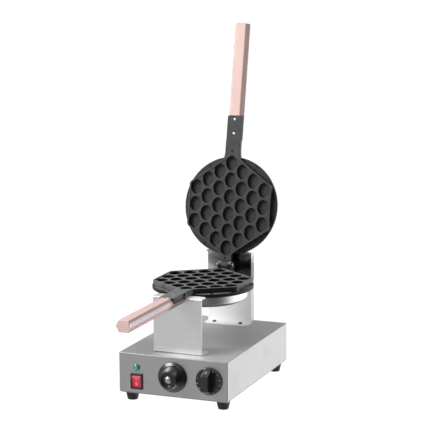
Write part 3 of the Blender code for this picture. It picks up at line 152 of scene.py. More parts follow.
class Paint:
    """A node tree under construction."""

    def __init__(self, tree):
        self.tree = tree

    def feed(self, socket, value):
        if isinstance(value, Wire):
            self.tree.links.new(value.socket, socket)
        else:
            socket.default_value = rgb(value) if socket.type == "RGBA" else value

    def node(self, kind, settings=None, inputs=None, output=0):
        made = self.tree.nodes.new("ShaderNode" + kind)
        for key, value in (settings or {}).items():
            setattr(made, key, value)
        for key, value in (inputs or {}).items():
            self.feed(made.inputs[key], value)
        return Wire(self, made.outputs[output])

    def parts(self, kind="TexCoord", output=3):
        """The parts of the place in the piece's own frame, or of another node's vector."""
        made = self.node("SeparateXYZ", inputs={0: self.node(kind, output=output)}).socket.node
        return [Wire(self, socket) for socket in made.outputs]

    def normal(self):
        """The parts of the direction that the surface faces, in the room."""
        return self.parts("NewGeometry", 1)

    def stretched(self, scale):
        return self.node("VectorMath", {"operation": "MULTIPLY"},
                         {0: self.node("TexCoord", output=3),
                          1: scale if isinstance(scale, tuple) else (scale, scale, scale)})

    def noise(self, scale, detail):
        return self.node("TexNoise", inputs={"Vector": self.stretched(scale), "Scale": 1,
                                             "Detail": detail})

    def rings(self, value):
        """Noise along a single number."""
        return self.node("TexNoise", {"noise_dimensions": "1D"},
                         {"W": value, "Scale": 1, "Detail": 3})

    def specks(self, scale):
        return self.node("TexVoronoi", inputs={"Vector": self.stretched(scale), "Scale": 1})

    def blend(self, share, first, second):
        return self.node("Mix", {"data_type": "RGBA"}, {0: share, 6: first, 7: second}, 2)

    def look(self, colour, roughness, height, depth, **others):
        """The inputs of a material, with a relief of this depth."""
        relief = self.node("Bump", inputs={"Height": height, "Distance": depth, "Strength": 1})
        return {"Base Color": colour, "Roughness": roughness, "Normal": relief,
                **{key.replace("_", " "): value for key, value in others.items()}}


def material(name, painter, *values):
    """A Principled material with the inputs that its painter gives."""
    made = bpy.data.materials.new(name)
    made.use_nodes = True
    paint = Paint(made.node_tree)
    for key, value in painter(paint, *values).items():
        paint.feed(made.node_tree.nodes["Principled BSDF"].inputs[key], value)
    return made


# ---- painters
def brushed(paint, tone, rough, painted_bend_light=-0.6, extra=None):
    """Brushed sheet: fine lines along it, clouds, smudges, and bends darkened as painted shade.

    Faces that look up are duller, with painted light at their near right end and painted shade at
    their near left end.
    """
    right, front, up = [part.size() for part in paint.normal()]
    upward = up.step(0.8, 0.95)
    sideways = right.step(0.6, 0.8)
    grain = (paint.noise((9, 1400, 1400), 4) * (1 - sideways)
             + paint.noise((1400, 9, 1400), 4) * sideways)
    clouds = paint.noise((7, 7, 9), 3)
    smudge = paint.noise((31, 18, 22), 5).step(0.52, 0.75)
    bend = (1 - right.most(front).most(up)).step(0.02, 0.22)
    x, y, _ = paint.parts()
    # Near the front of faces that look up: painted light towards the right, painted shade towards
    # the left.
    near = y.drop(0.04, 0.15) * upward
    # The bend term darkens the bends: painted shade.
    level = ((0.9 + 0.2 * grain) * (0.93 + 0.14 * clouds) + painted_bend_light * bend
             + near * (0.95 * x.step(-0.06, 0.05) - 0.3))
    plain = paint.blend(level.step(0.75, 1.35), (tone * 0.75, tone * 0.75, tone * 0.76),
                        min(1, tone * 1.35))
    roughness = rough + 0.1 * (grain - 0.5) + 0.07 * smudge + 0.3 * bend + 0.26 * upward
    # The bends are also blended towards dark grey: painted shade.
    found = paint.look(paint.blend(0.35 * bend, plain, 0.12), roughness, grain, 0.000016,
                       Metallic=1 - 0.45 * upward)
    return extra(paint, found) if extra else found


def rear_painted_reflection_and_glow(paint, found):
    """The rear bracket: glossy with a painted dark reflection by the hinge; dull and whitish with a
    painted glow below the iron.
    """
    x, _, z = paint.parts()
    above = z.step(0.165, 0.19)
    ragged = 0.05 * (paint.noise((60, 40, 90), 5) - 0.5)
    beside = (x - ragged).step(-0.02, 0.004)
    corner = x.step(0.014, 0.036) * (z + ragged).step(0.212, 0.236) * (0.685 + 18 * ragged)
    # Painted dark reflection on the upper part, strongest beside the hinge and lighter at the top
    # right corner.
    painted_dark_reflection = above * (0.14 + 0.74 * beside - 0.62 * corner)
    # Below the iron the sheet glows faintly: painted light.
    return {**found, "Base Color": paint.blend(painted_dark_reflection, found["Base Color"], 0.012),
            "Roughness": found["Roughness"] + above * -0.2, "Metallic": 0.1 + 0.9 * above,
            "Emission Color": paint.blend(above, 0.14, 0), "Emission Strength": 1}


def turned_metal(paint, tone, rough, metal=1, tint=(1, 1, 1)):
    """Metal turned on a lathe: rings about its own z axis, and a few marks."""
    x, y, _ = paint.parts()
    rings = paint.rings((x * x + y * y) ** 0.5 * 2600)
    marks = paint.noise(260, 4)
    low, high = [tuple(part * tone * share for part in tint) for share in (0.82, 1.12)]
    return paint.look(paint.blend((0.5 * rings + 0.5 * marks).step(0.25, 0.75), low, high),
                      rough + 0.1 * (marks - 0.5) + 0.06 * (rings - 0.5), rings, 0.00001,
                      Metallic=metal)


def coated(paint, tone, worn, rough, deep, cell_wall_shade, specular):
    """Non-stick coat: grain, rubbed rims and cell mouths, cell walls darkened as painted shade, and
    cell floors lightened as painted light.
    """
    _, _, z = paint.parts()
    grain = paint.noise(2200, 2)
    mottle = paint.noise(60, 4)
    flecks = paint.specks(520).drop(0.1, 0.22)
    scratches = paint.noise((900, 30, 200), 2).step(0.66, 0.72)
    rim = z.step(-0.0008, -0.0003)
    mouth = z.step(-0.00165, -0.00125) * z.drop(-0.00112, -0.00095)
    rubbed = (rim * 0.3).most(mouth) * mottle.step(0.25, 0.6, 0.5, 1)
    # The cell walls between mouth and floor, which get painted shade.
    painted_wall_shade = z.drop(-0.003, -0.0014) * z.step(-0.0094, -0.0082)
    skin_grain = paint.noise(620, 3)
    # Cell walls darkened as painted shade; cell floors lightened as painted light.
    level = (0.46 + 0.36 * mottle + 0.16 * grain + 0.62 * skin_grain + 0.1 * flecks
             + 0.06 * scratches - cell_wall_shade * painted_wall_shade + 0.5 * z.drop(-0.0094, -0.0086))
    plain = paint.blend(level.step(0.1, 1.4), tone * deep, tone * 1.5)
    return paint.look(paint.blend(rubbed, plain, (worn, worn, worn * 1.01)),
                      rough + 0.14 * (mottle - 0.5) - 0.1 * rubbed + 0.08 * painted_wall_shade,
                      grain + 0.6 * scratches + 1.5 * skin_grain, 0.00006,
                      Specular_IOR_Level=specular)


def cast_side(paint, tone, rough, flank_light_tone):
    """The black sides and backs of the castings: machined lines, soot, grain, and flanks facing
    left or right lightened as painted light.
    """
    z = paint.parts()[2]
    lines = paint.rings(z * 2400)
    grain = paint.noise(800, 4)
    soot = paint.noise((38, 38, 20), 4)
    across = paint.normal()[0]
    flank = across.step(0.8, 0.97).most(across.drop(-0.6, -0.35))
    # Flanks facing left or right are lightened: painted light.
    painted_flank_light = flank * z.step(-0.0098, -0.0088) * (0.55 + 0.45 * soot.step(0.3, 0.6))
    sooty = paint.blend((0.45 * lines + 0.25 * grain + 0.4 * soot).step(0.3, 0.85), tone * 0.5,
                        tone * 1.9)
    return paint.look(paint.blend(painted_flank_light, sooty, flank_light_tone), rough + 0.2 * (soot - 0.5),
                      0.6 * lines + grain, 0.00006, Specular_IOR_Level=0.22)


def spun_cover(paint, tone, rough):
    """A spun sheet cover: rings of brushing, heat tint, blotchy patches, and a painted highlight on
    its right side.
    """
    x, y, z = paint.parts()
    across = (x * x + y * y) ** 0.5
    rings = paint.rings(across * 1500 + z * 1500)
    patches = paint.noise(28, 5)
    heat = across.step(0.03, 0.085) * patches.step(0.35, 0.7)
    dull = paint.blend((0.55 * rings + 0.45 * patches).step(0.3, 0.7), tone * 0.82, tone * 1.15)
    # Lighter towards its right side: a painted highlight.
    plain = paint.blend(x.step(0.062, 0.087), dull, min(1, tone * 3.2))
    colour = paint.blend(0.18 * heat, plain, (tone * 0.95, tone * 0.88, tone * 0.8))
    return paint.look(colour, rough + 0.16 * (patches - 0.5), rings, 0.000012, Metallic=1)


def planed_wood(paint, painted_light_share, light):
    """Pale close-grained wood: year rings, short dark pores along the grain, a sawn end.

    With a share of painted light, its upper right slope gets a pale painted highlight that glows,
    and painted shade beside the casting and along that slope's upper edge.
    """
    x, y, z = paint.parts()
    drift = paint.noise((16, 3, 16), 3)
    from_heart = ((x + 0.046) ** 2 + (z - 0.034) ** 2) ** 0.5 + 0.007 * drift
    years = (from_heart * 2400).wave()
    pores = paint.noise((1500, 70, 1500), 3).step(0.6, 0.72)
    fibre = paint.noise((420, 9, 420), 4)
    cloud = paint.noise((22, 6, 22), 3)
    handled = paint.noise((40, 14, 40), 3) * y.step(-0.36, -0.2, 1, 0.3)
    level = 0.4 * years + 0.35 * fibre + 0.45 * cloud
    # A light above one gives a brighter copy of the wood: painted light.
    low, high = [tuple(part * light for part in tone)
                 for tone in ((0.66, 0.445, 0.4), (0.8, 0.58, 0.535))]
    plain = paint.blend(level.step(0.25, 0.95), low, high)
    pored = paint.blend(0.38 * pores, plain, (0.4, 0.23, 0.18))
    worn = paint.blend(0.16 * handled, pored, (0.62, 0.43, 0.36))
    ended = paint.blend(y.step(0.0002 - HANDLE_END, 0.001 - HANDLE_END, 0.65, 0), worn,
                        (0.5, 0.34, 0.31))
    # Painted shade beside the casting and along the upper right slope's top edge.
    beside = y.step(-0.205, -0.175) * x.step(0.008, 0.011)
    edge = x.step(0.0092, 0.01) * x.drop(0.0112, 0.0135) * z.step(-0.012, -0.01)
    painted_shade_wood = paint.blend(painted_light_share * (0.9 * beside).most(0.4 * edge), ended, (0.16, 0.06, 0.045))
    # A pale painted highlight on the upper right slope, which also glows.
    painted_sheen = (x.step(0.0114, 0.0138) * z.step(-0.0118, -0.01) * (1 - beside)
             * (painted_light_share + 0.5 * painted_light_share * (cloud - 0.5)))
    return paint.look(paint.blend(painted_sheen, painted_shade_wood, (0.98, 0.91, 0.96)),
                      0.44 + 0.14 * fibre + 0.1 * pores, 0.5 * years + fibre - 0.8 * pores,
                      0.00004, Coat_Weight=0.25, Coat_Roughness=0.2,
                      Emission_Color=paint.blend(painted_sheen, 0, (0.22, 0.17, 0.19)),
                      Emission_Strength=1 if painted_light_share else 0)


def moulded(paint, low, high, rough, depth=0.00002, coat=0):
    """Moulded plastic or rubber: faint flow marks, fine skin and dust."""
    flow = paint.noise((90, 90, 60), 3)
    skin_grain = paint.noise(1900, 2)
    dust = paint.noise(420, 4).step(0.58, 0.78)
    level = (0.6 * flow + 0.4 * skin_grain + 0.35 * dust).step(0.3, 0.85)
    return paint.look(paint.blend(level, low, high), rough + 0.1 * (flow - 0.5) + 0.14 * dust,
                      skin_grain, depth, Coat_Weight=coat, Coat_Roughness=0.14)


def lit_rocker(paint):
    """The red rocker, lit from behind: a painted highlight along its upper edge and a glowing
    middle.
    """
    x, _, z = paint.parts()
    flow = paint.noise(160, 3)
    glow = (x.size() / 0.009).step(0.2, 1, 1, 0.35) * z.step(-0.0105, -0.004)
    red = paint.blend(flow.step(0.3, 0.7), (0.36, 0.006, 0.024), (0.44, 0.012, 0.036))
    # The paler upper edge is a painted highlight.
    return paint.look(paint.blend(0.5 * z.step(0.0062, 0.01), red, (0.8, 0.24, 0.26)),
                      0.24 + 0.12 * (flow - 0.5), flow, 0.00004, Coat_Weight=0.3,
                      Emission_Color=paint.blend(glow, (0.05, 0, 0.004), (0.34, 0.01, 0.04)),
                      Emission_Strength=0.6)


def lamp_lens(paint):
    """The teal lens: clearer in the middle, with fine ribs inside."""
    x, y, _ = paint.parts()
    across = (x * x + y * y) ** 0.5
    ribs = (across * 9000).wave()
    colour = paint.blend(0.25 * ribs + 0.75 * across.drop(0, 0.0062), (0.004, 0.105, 0.1),
                         (0.03, 0.42, 0.39))
    return paint.look(colour, 0.1 + 0.1 * ribs, ribs, 0.00003, Coat_Weight=0.8,
                      Coat_Roughness=0.05)


def braid(paint):
    """Woven glass sleeving: two families of strands that cross along the sleeve."""
    x, y, z = paint.parts()
    weave = ((x + y * 0.6 + z) * 2600).wave().most(((x + y * 0.6 - z) * 2600).wave())
    stain = paint.noise((70, 70, 40), 4)
    colour = paint.blend((0.7 * weave + 0.4 * stain).step(0.3, 1), (0.33, 0.31, 0.27),
                         (0.74, 0.72, 0.66))
    return paint.look(colour, 0.75 + 0.15 * weave, weave, 0.00025, Specular_IOR_Level=0.3)


PAINTS = {slot: material(*recipe) for slot, recipe in {
    "brushed_stainless": ("brushed_stainless_housing", brushed, 0.46, 0.36),
    "front_sheet": ("brushed_stainless_front_bracket", brushed, 0.84, 0.34, -0.2),
    # The rear bracket's sheet, with its painted dark reflection and painted glow.
    "rear_sheet": ("polished_stainless_rear_bracket", brushed, 0.95, 0.36, -0.2, rear_painted_reflection_and_glow),
    "bright_steel": ("turned_steel", turned_metal, 0.8, 0.2),
    "satin_cap": ("satin_alloy_cap", turned_metal, 0.4, 0.4),
    "dull_steel": ("dull_steel", turned_metal, 0.72, 0.5, 0.3),
    "dark_steel": ("blackened_steel", turned_metal, 0.06, 0.36),
    "pin_steel": ("oiled_steel", turned_metal, 0.32, 0.24),
    "bronze": ("sintered_bronze", turned_metal, 0.1, 0.5, 1, (1, 0.84, 0.66)),
    "non_stick_coat": ("non_stick_coat", coated, 0.022, 0.142, 0.5, 0.1, 0.15, 0.18),
    # The lower half's copy of the coat: a lighter tone as painted light, and much darker cell walls
    # as painted shade.
    "lower_coat": ("non_stick_coat_lower", coated, 0.125, 0.28, 0.5, 0.02, 0.9, 0.12),
    "cast_side": ("sooty_cast_side", cast_side, 0.01, 0.36, 0.012),
    # The lower half's copy: flanks lightened much more, as painted light.
    "lower_side": ("sooty_cast_side_lower", cast_side, 0.01, 0.36, 0.13),
    "cover_metal": ("spun_cover_sheet", spun_cover, 0.32, 0.3),
    "pale_wood": ("pale_planed_wood", planed_wood, 0, 1),
    # The lower half's copy: painted highlight and shade, and a brighter tone as painted light.
    "lower_wood": ("pale_planed_wood_lower", planed_wood, 0.9, 1.2),
    "black_rubber": ("black_rubber", moulded, 0.004, 0.014, 0.66, 0.00006),
    "black_plastic": ("gloss_black_plastic", moulded, 0.003, 0.009, 0.24, 0.000008, 0.3),
    "red_plastic": ("lit_red_rocker", lit_rocker),
    "green_lens": ("teal_lens", lamp_lens),
    "white_plastic": ("white_mark", moulded, 0.7, 0.88, 0.45),
    "glass_sleeving": ("woven_glass_sleeve", braid),
}.items()}


# ---- outlines
def fillet(outline, steps=8):
    """Round the corners of an outline; a corner's radius is its third value, if it has one."""
    rounded = []
    for index, (x, y, *radius) in enumerate(outline):
        middle = Vector((x, y))
        if not any(radius):
            rounded.append((x, y))
            continue
        back = (Vector(outline[index - 1][:2]) - middle).normalized()
        ahead = (Vector(outline[(index + 1) % len(outline)][:2]) - middle).normalized()
        half = back.angle(ahead) / 2
        centre = middle + (back + ahead).normalized() * (radius[0] / sin(half))
        start = middle + back * (radius[0] / tan(half)) - centre
        end = middle + ahead * (radius[0] / tan(half)) - centre
        sweep = start.angle_signed(end)
        for step in range(steps + 1):
            rounded.append(tuple(centre + Matrix.Rotation(-sweep * step / steps, 2) @ start))
    return rounded


def inset(outline, distance):
    """An outline drawn in by a distance, whichever way round it runs."""
    count = len(outline)
    area = sum(outline[index - 1][0] * outline[index][1] - outline[index][0] * outline[index - 1][1]
               for index in range(count))
    side = 1 if area > 0 else -1
    moved = []
    for index in range(count):
        here = Vector(outline[index])
        back = (here - Vector(outline[index - 1])).normalized()
        ahead = (Vector(outline[(index + 1) % count]) - here).normalized()
        normals = [Vector((-way.y, way.x)) * side for way in (back, ahead)]
        middle = (normals[0] + normals[1]).normalized()
        moved.append(tuple(here + middle * (distance / max(0.3, middle.dot(normals[0])))))
    return moved


def arc(x, y, half_w, half_l, turns):
    """Points round a middle at these angles."""
    return [(x + half_w * cos(turn), y + half_l * sin(turn)) for turn in turns]


def oval(half_w, half_l, sides, x=0, y=0):
    """An ellipse as an outline."""
    return arc(x, y, half_w, half_l, [tau * index / sides for index in range(sides)])


def box_outline(half_w, half_l, radius, steps=5):
    """A rectangle with rounded corners."""
    return fillet([(x * half_w, y * half_l, radius)
                   for x, y in ((1, -1), (1, 1), (-1, 1), (-1, -1))], steps)


# ---- shapes
def skinned(shape, rows):
    """Skin rows of corners, and close both ends."""
    for low, high in zip(rows, rows[1:]):
        for index in range(len(low)):
            shape.faces.new((low[index - 1], low[index], high[index], high[index - 1]))
    shape.faces.new(rows[0])
    shape.faces.new(rows[-1])
    return shape


def skin(rings, place=Matrix(), on=None):
    """Skin a stack of flat rings, given as (outline, height), as a new shape or on to one."""
    shape = on or bmesh.new()
    return skinned(shape, [[shape.verts.new(place @ Vector((x, y, height))) for x, y in outline]
                           for outline, height in rings])


def slab(outline, low, high, soft_low, soft_high, place=Matrix(), steps=3, on=None):
    """A flat outline made thick, with its lower and upper edges rounded by soft_low, soft_high."""
    quarter = [pi / 2 * index / steps for index in range(steps + 1)]
    rings = [(inset(outline, soft_low * (1 - sin(turn))), low + soft_low * (1 - cos(turn)))
             for turn in (quarter if soft_low else quarter[-1:])]
    rings += [(inset(outline, soft_high * (1 - cos(turn))), high - soft_high * (1 - sin(turn)))
              for turn in (quarter if soft_high else quarter[:1])]
    return skin(rings, place, on)


def lathe(profile, place=Matrix(), sides=64, on=None):
    """Turn a profile of (radius, height) points; off the axis at its start, it is a ring."""
    shape = on or bmesh.new()
    rows = [[shape.verts.new(place @ Vector((x, y, height)))
             for x, y in oval(radius, radius, sides if radius > 1e-6 else 1)]
            for radius, height in profile]
    pairs = list(zip(rows, rows[1:]))
    if profile[0][0] > 1e-6:
        pairs.append((rows[-1], rows[0]))
    for one, other in pairs:
        for index in range(sides):
            corners = [one[index % len(one)], one[(index + 1) % len(one)],
                       other[(index + 1) % len(other)], other[index % len(other)]]
            kept = list(dict.fromkeys(corners))
            if len(kept) > 2:
                shape.faces.new(kept)
    return shape


def rod(radius, low, high, place=Matrix(), sides=32, on=None):
    """A plain round bar."""
    return lathe([(0, low), (radius, low), (radius, high), (0, high)], place, sides, on)


def turned(profile, place=Matrix(), sides=48):
    """A new turned shape with rounded corners."""
    return lathe(fillet(profile, 4), place, sides)


def brick(size, middle, radius=0):
    """A box-shaped cutter, with rounded upright edges if it has a radius."""
    outline = box_outline(size[0] / 2, size[1] / 2, radius)
    return skin([(outline, -size[2] / 2), (outline, size[2] / 2)], at(*middle))


def linked(name, data):
    """A new object in the scene."""
    item = bpy.data.objects.new(name, data)
    bpy.context.scene.collection.objects.link(item)
    return item


def meshed(name, shape, straighten=True):
    """A new object round a shape, which goes."""
    mesh = bpy.data.meshes.new(name)
    if straighten:
        bmesh.ops.recalc_face_normals(shape, faces=shape.faces)
    shape.to_mesh(mesh)
    shape.free()
    return linked(name, mesh)


def modified(item, kind, **settings):
    """Give an object a modifier."""
    made = item.modifiers.new(kind, kind)
    for key, value in settings.items():
        setattr(made, key, value)
    return item


def bevelled(item, width, segments, angle=30):
    """Give an object rounded edges."""
    return modified(item, "BEVEL", width=width, segments=segments, limit_method="ANGLE",
                    angle_limit=radians(angle))


def thickened(item, sheet):
    """Give an object's surface a thickness, inwards."""
    return modified(item, "SOLIDIFY", thickness=sheet, offset=-1, use_even_offset=True)


def seen(item):
    """An object as its modifiers leave it."""
    bpy.context.view_layer.update()
    return item.evaluated_get(bpy.context.evaluated_depsgraph_get())


def taken(item):
    """The shape that an object's modifiers leave; the object goes."""
    shape = bmesh.new()
    shape.from_mesh(seen(item).to_mesh())
    bpy.data.objects.remove(item, do_unlink=True)
    return shape


def carve(shape, *cutters):
    """Take closed shapes out of a shape."""
    item = meshed("held", shape)
    tools = [meshed("tool", cutter) for cutter in cutters]
    for tool in tools:
        modified(item, "BOOLEAN", operation="DIFFERENCE", solver="EXACT", object=tool)
    left = taken(item)
    for tool in tools:
        bpy.data.objects.remove(tool, do_unlink=True)
    return left


def softened(shape, width, segments=2, angle=50):
    """Round the sharp edges of a shape."""
    return taken(bevelled(meshed("held", shape), width, segments, angle))


def merged(shape, other):
    """Both shapes as one."""
    mesh = bpy.data.meshes.new("merged")
    bmesh.ops.recalc_face_normals(other, faces=other.faces)
    other.to_mesh(mesh)
    other.free()
    shape.from_mesh(mesh)
    bpy.data.meshes.remove(mesh)
    return shape


def crossed(shape, long, wide, deep, height):
    """A screw head with a cross recess."""
    return carve(shape, brick((wide, long, deep), (0, 0, height)),
                 brick((long, wide, deep), (0, 0, height)))


def piece(name, shape, place, slot, node=None, *looks, body="machine"):
    """Put a shape into the scene as a piece that rides on a body, in place of a node.

    Its looks are those of its slot, or else the ones named.
    """
    item = meshed(name, shape)
    item.data.shade_smooth()
    item.data.set_sharp_from_angle(angle=radians(32))
    for look in looks or (slot,):
        item.data.materials.append(PAINTS[look])
    modified(item, "WEIGHTED_NORMAL", keep_sharp=True)
    item.data = bpy.data.meshes.new_from_object(seen(item))
    item.modifiers.clear()
    item.matrix_world = place
    bpy.context.view_layer.update()
    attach(item, body)
    if node:
        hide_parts(node)


# ---- the iron's two halves
def hexagon(drawn_in=0):
    """Corners of the pan's hexagon, from the front apex."""
    slope = (CELL_ROW / 2) / CELL_COLUMN
    apex = HEX_APEX - drawn_in * sqrt(1 + slope ** 2)
    half_w = HEX_HALF_W - drawn_in
    side = apex - slope * half_w
    return [(0, -apex), (half_w, -side), (half_w, side), (0, apex), (-half_w, side),
            (-half_w, -side)]


def slant_y(x):
    """Where the slanted front side meets a distance from the centre line."""
    return -(HEX_APEX - x * (CELL_ROW / 2) / CELL_COLUMN)


def half_outline(tongue):
    """The pan with its arm in front and, on the lid, a tongue behind."""
    _, right_front, right_back, _, _, _ = hexagon()
    right = [(ARM_HALF_W, -ARM_END, ARM_HALF_W / 5), (ARM_HALF_W, -NECK_END, HEX_CORNER),
             (NECK_HALF_W, slant_y(NECK_HALF_W), HEX_CORNER / 2), (*right_front, HEX_CORNER),
             (*right_back, HEX_CORNER)]
    if tongue:
        right += [(TONGUE_HALF_W, -slant_y(TONGUE_HALF_W), 0.0015),
                  (TONGUE_HALF_W, TONGUE_END, 0.0015)]
    middle = [] if tongue else [(0, HEX_APEX, HEX_CORNER)]
    return fillet(right + middle + [(-x, y, radius) for x, y, radius in reversed(right)])


def cell_places():
    """Middle of each batter cell."""
    return [((column - 3) * CELL_COLUMN, (row - (count - 1) / 2) * CELL_ROW)
            for column, count in enumerate(CELL_COUNTS) for row in range(count)]


def cell_rings():
    """The (outward offset, height) steps of a cell, from its flared mouth to its floor."""
    quarter = [pi / 2 * index / 4 for index in range(5)]
    mouth = [(CELL_FLARE * (1 - sin(turn)), -RIM_H - CELL_FLARE * (1 - cos(turn)))
             for turn in quarter]
    foot = [(-0.0006 - 0.0024 * (1 - cos(turn)), -0.007 - 0.0024 * sin(turn))
            for turn in quarter]
    return [(CELL_FLARE + 0.00004, 0.0002 - RIM_H), *mouth, *foot, (-0.0075, -CELL_FLOOR)]


def cells():
    """Cutters for all cells."""
    shape = bmesh.new()
    for x, y in cell_places():
        skin([(oval(CELL_HALF_W + out, CELL_HALF_L + out, 36), height)
              for out, height in cell_rings()], at(x, y, 0), shape)
    return shape


def bolt_holes(shape):
    """Countersunk holes through arm and wood."""
    for where in BOLTS:
        lathe([(0, 0.001), (0.0034, 0.001), (0.0034, -0.0003), (0.0023, -0.0027),
               (0.0023, -HANDLE_T - 0.001), (0, -HANDLE_T - 0.001)], at(0, -where, 0), 32, shape)
    return shape


def on_face(middle, normal):
    """Whether a face belongs to the baking side and not to the casting's flank."""
    in_cell = any(((middle.x - x) / (CELL_HALF_W + 0.001)) ** 2
                  + ((middle.y - y) / (CELL_HALF_L + 0.001)) ** 2 < 1 for x, y in cell_places())
    return normal.z > 0.45 or in_cell and middle.z < -RIM_H + 0.0003


def make_pan(side, place, body, is_lid):
    """One cast half with its baking face, round back, arm and journal."""
    cast = slab(half_outline(is_lid), -SLAB_T, 0, 0.0006, 0.0007)
    edge = fillet([(x, y, HEX_CORNER - RIM_W) for x, y in hexagon(RIM_W)])
    recess = skin([(inset(edge, 0.0007), -RIM_H), (inset(edge, 0.0002), -0.0006),
                   (edge, -0.0002), (inset(edge, -0.0006), 0.001)])
    holes = cells()
    lathe([(0, 0.001), (0.0032, 0.001), (0.0028, -0.0005), (0.0028, -0.006), (0, -0.007)],
          at(0, -0.1094, 0), 32, holes)
    bolt_holes(holes)
    if is_lid:
        rod(0.0024, 0.001, -0.02, at(0, 0.1055, 0), 32, holes)
    cast = carve(cast, recess, holes)
    lathe([(0, -0.01), (0.0966, -0.01), (0.0975, -0.0104), (0.098, -0.0113), (0.098, -0.013),
           (0.0974, -0.0132), (0.0974, -0.0139), (0.098, -0.0141), (0.098, -0.0158),
           (0.0975, -0.0166), (0.0966, -0.017), (0, -0.017)], sides=128, on=cast)
    rod(0.008, -0.016, -0.0373, on=cast)
    journal = 0.0154 if is_lid else 0.018
    half_round = arc(0, 0, journal, journal, [pi * (1 + index / 32) for index in range(33)])
    slab(half_round, 0.104, 0.131, 0.0004, 0.0008, at(0, 0, -0.0004) @ OUTWARD, on=cast)
    cast = (add_knuckle if is_lid else add_lugs)(cast)
    for face in cast.faces:
        if not on_face(face.calc_center_median(), face.normal):
            face.material_index = 1
    looks = ("non_stick_coat", "cast_side") if is_lid else ("lower_coat", "lower_side")
    piece(side + "_cast_half", cast, place, "non_stick_coat", side + "_plate", *looks, body=body)


def with_bore(cast, outline, low, high, soft, bore_r, height):
    """The casting with a hinge part of this side outline, bored for the pin."""
    part = slab(outline, low, high, soft, soft, ACROSS, 2)
    return merged(cast, carve(part, rod(bore_r, -0.02, 0.02, at(0, HINGE_REACH, height) @ ACROSS)))


def add_knuckle(cast):
    """The lid's single knuckle on its bridge."""
    height = LID_GAP - HINGE_RISE
    start = TONGUE_END - 0.004
    turns = [radians(150), radians(120),
             *[pi / 2 - pi * index / 24 for index in range(25)], radians(-120)]
    outline = [(start, -0.0096), (start, -0.0006), (HINGE_REACH - 0.0072, -0.0006),
               *arc(HINGE_REACH, height, KNUCKLE_R, KNUCKLE_R, turns)]
    return with_bore(cast, outline, -KNUCKLE_HALF_W, KNUCKLE_HALF_W, 0.0003, 0.0035, height)


def add_lugs(cast):
    """The lower web with its two lugs, and the boss that the spindle is fixed to."""
    slab(box_outline(0.0137, 0.022, 0.002), -0.017, -0.0055, 0.0008, 0.0006, at(0, 0.1115, 0),
         on=cast)
    boss = [(0, 0.128), (0.013, 0.128, 0.0006), (0.013, 0.134, 0.0008), (0, 0.134)]
    lathe(fillet(boss, 3), INWARD, 48, cast)
    outline = [(HINGE_REACH + KNUCKLE_R, -0.013),
               *arc(HINGE_REACH, HINGE_RISE, KNUCKLE_R, KNUCKLE_R,
                    [pi * index / 24 for index in range(25)]),
               (HINGE_REACH - KNUCKLE_R, -0.013)]
    for low, high in ((LUG_INNER, LUG_OUTER), (-LUG_OUTER, -LUG_INNER)):
        cast = with_bore(cast, outline, low, high, 0.0005, 0.0033, HINGE_RISE)
    return cast


def make_cover(side, place, body):
    """The spun dish over the element, and its screw."""
    top = -HALF_T - FIT
    low = top - 0.0215
    profile = fillet([(0.088, top, 0.0003), (0.0855, low + 0.006, 0.004), (0.079, low, 0.003),
                      (0.0028, low), (0.0028, low + 0.0012), (0.0783, low + 0.0012, 0.002),
                      (0.0843, low + 0.0064, 0.003), (0.0868, top, 0.0003)], 5)
    piece(side + "_cover_dish", lathe(profile, sides=128), place, "cover_metal", side + "_cover",
          body=body)
    head = turned([(0, 0.0118), (0.0025, 0.0118, 0.0004), (0.0025, 0), (0.0055, 0, 0.0003),
                   (0.0055, -0.0012, 0.0012), (0.0036, -0.003, 0.0014), (0, -0.003)])
    piece(side + "_cover_screw_cross", crossed(head, 0.0068, 0.0012, 0.0026, -0.0026),
          place @ at(0, 0, low - FIT), "bright_steel", side + "_cover_screw", body=body)


def make_handle(side, place, body):
    """The six-sided wooden half handle, its bolts and their nuts."""
    section = fillet([(-HANDLE_FLAT, 0, 0.0014), (-HANDLE_HALF_W, -HANDLE_WIDEST, 0.002),
                      (-HANDLE_FLAT, -HANDLE_T, 0.0022), (HANDLE_FLAT, -HANDLE_T, 0.0022),
                      (HANDLE_HALF_W, -HANDLE_WIDEST, 0.002), (HANDLE_FLAT, 0, 0.0014)], 5)
    wood = slab(section, HANDLE_START, HANDLE_END, 0.0005, 0.0015, OUTWARD, 4)
    step = slab(box_outline(0.022, 0.0244, 0.0006, 3), -0.0108, 0.001, 0.0002, 0.0001,
                at(0, -0.1559, 0))
    recess = bmesh.new()
    for where in BOLTS:
        lathe([(0, -0.0182), (0.0056, -0.0182), (0.0056, -0.0215), (0.006, -0.023),
               (0, -0.023)], at(0, -where, 0), 40, recess)
    piece(side + "_wood_grip", carve(wood, step, bolt_holes(bmesh.new()), recess), place,
          "pale_wood", side + "_handle", "lower_wood" if side == "lower" else "pale_wood",
          body=body)
    for label, where in zip(("near", "far"), BOLTS):
        bolt_place = place @ at(0, -where, 0)
        head = [(0, -0.00005), (0.0014, -0.0001), (0.0023, -0.0003), (0.0027, -0.00075),
                (SCREW_R, -0.0024), (SCREW_R, -0.0217), (0, -0.0217)]
        piece(f"{side}_bolt_{label}", lathe(head, sides=40), bolt_place, "bright_steel",
              f"{side}_handle_bolt_{label}", "dull_steel", body=body)
        outline = fillet([(x, y, 0.0003) for x, y in oval(0.0046, 0.0046, 6)], 2)
        nut = slab(outline, -0.0217, -0.0185, 0.0003, 0.0003)
        piece(f"{side}_nut_{label}", carve(nut, rod(0.0022, -0.03, 0)), bolt_place,
              "bright_steel", f"{side}_handle_nut_{label}", body=body)


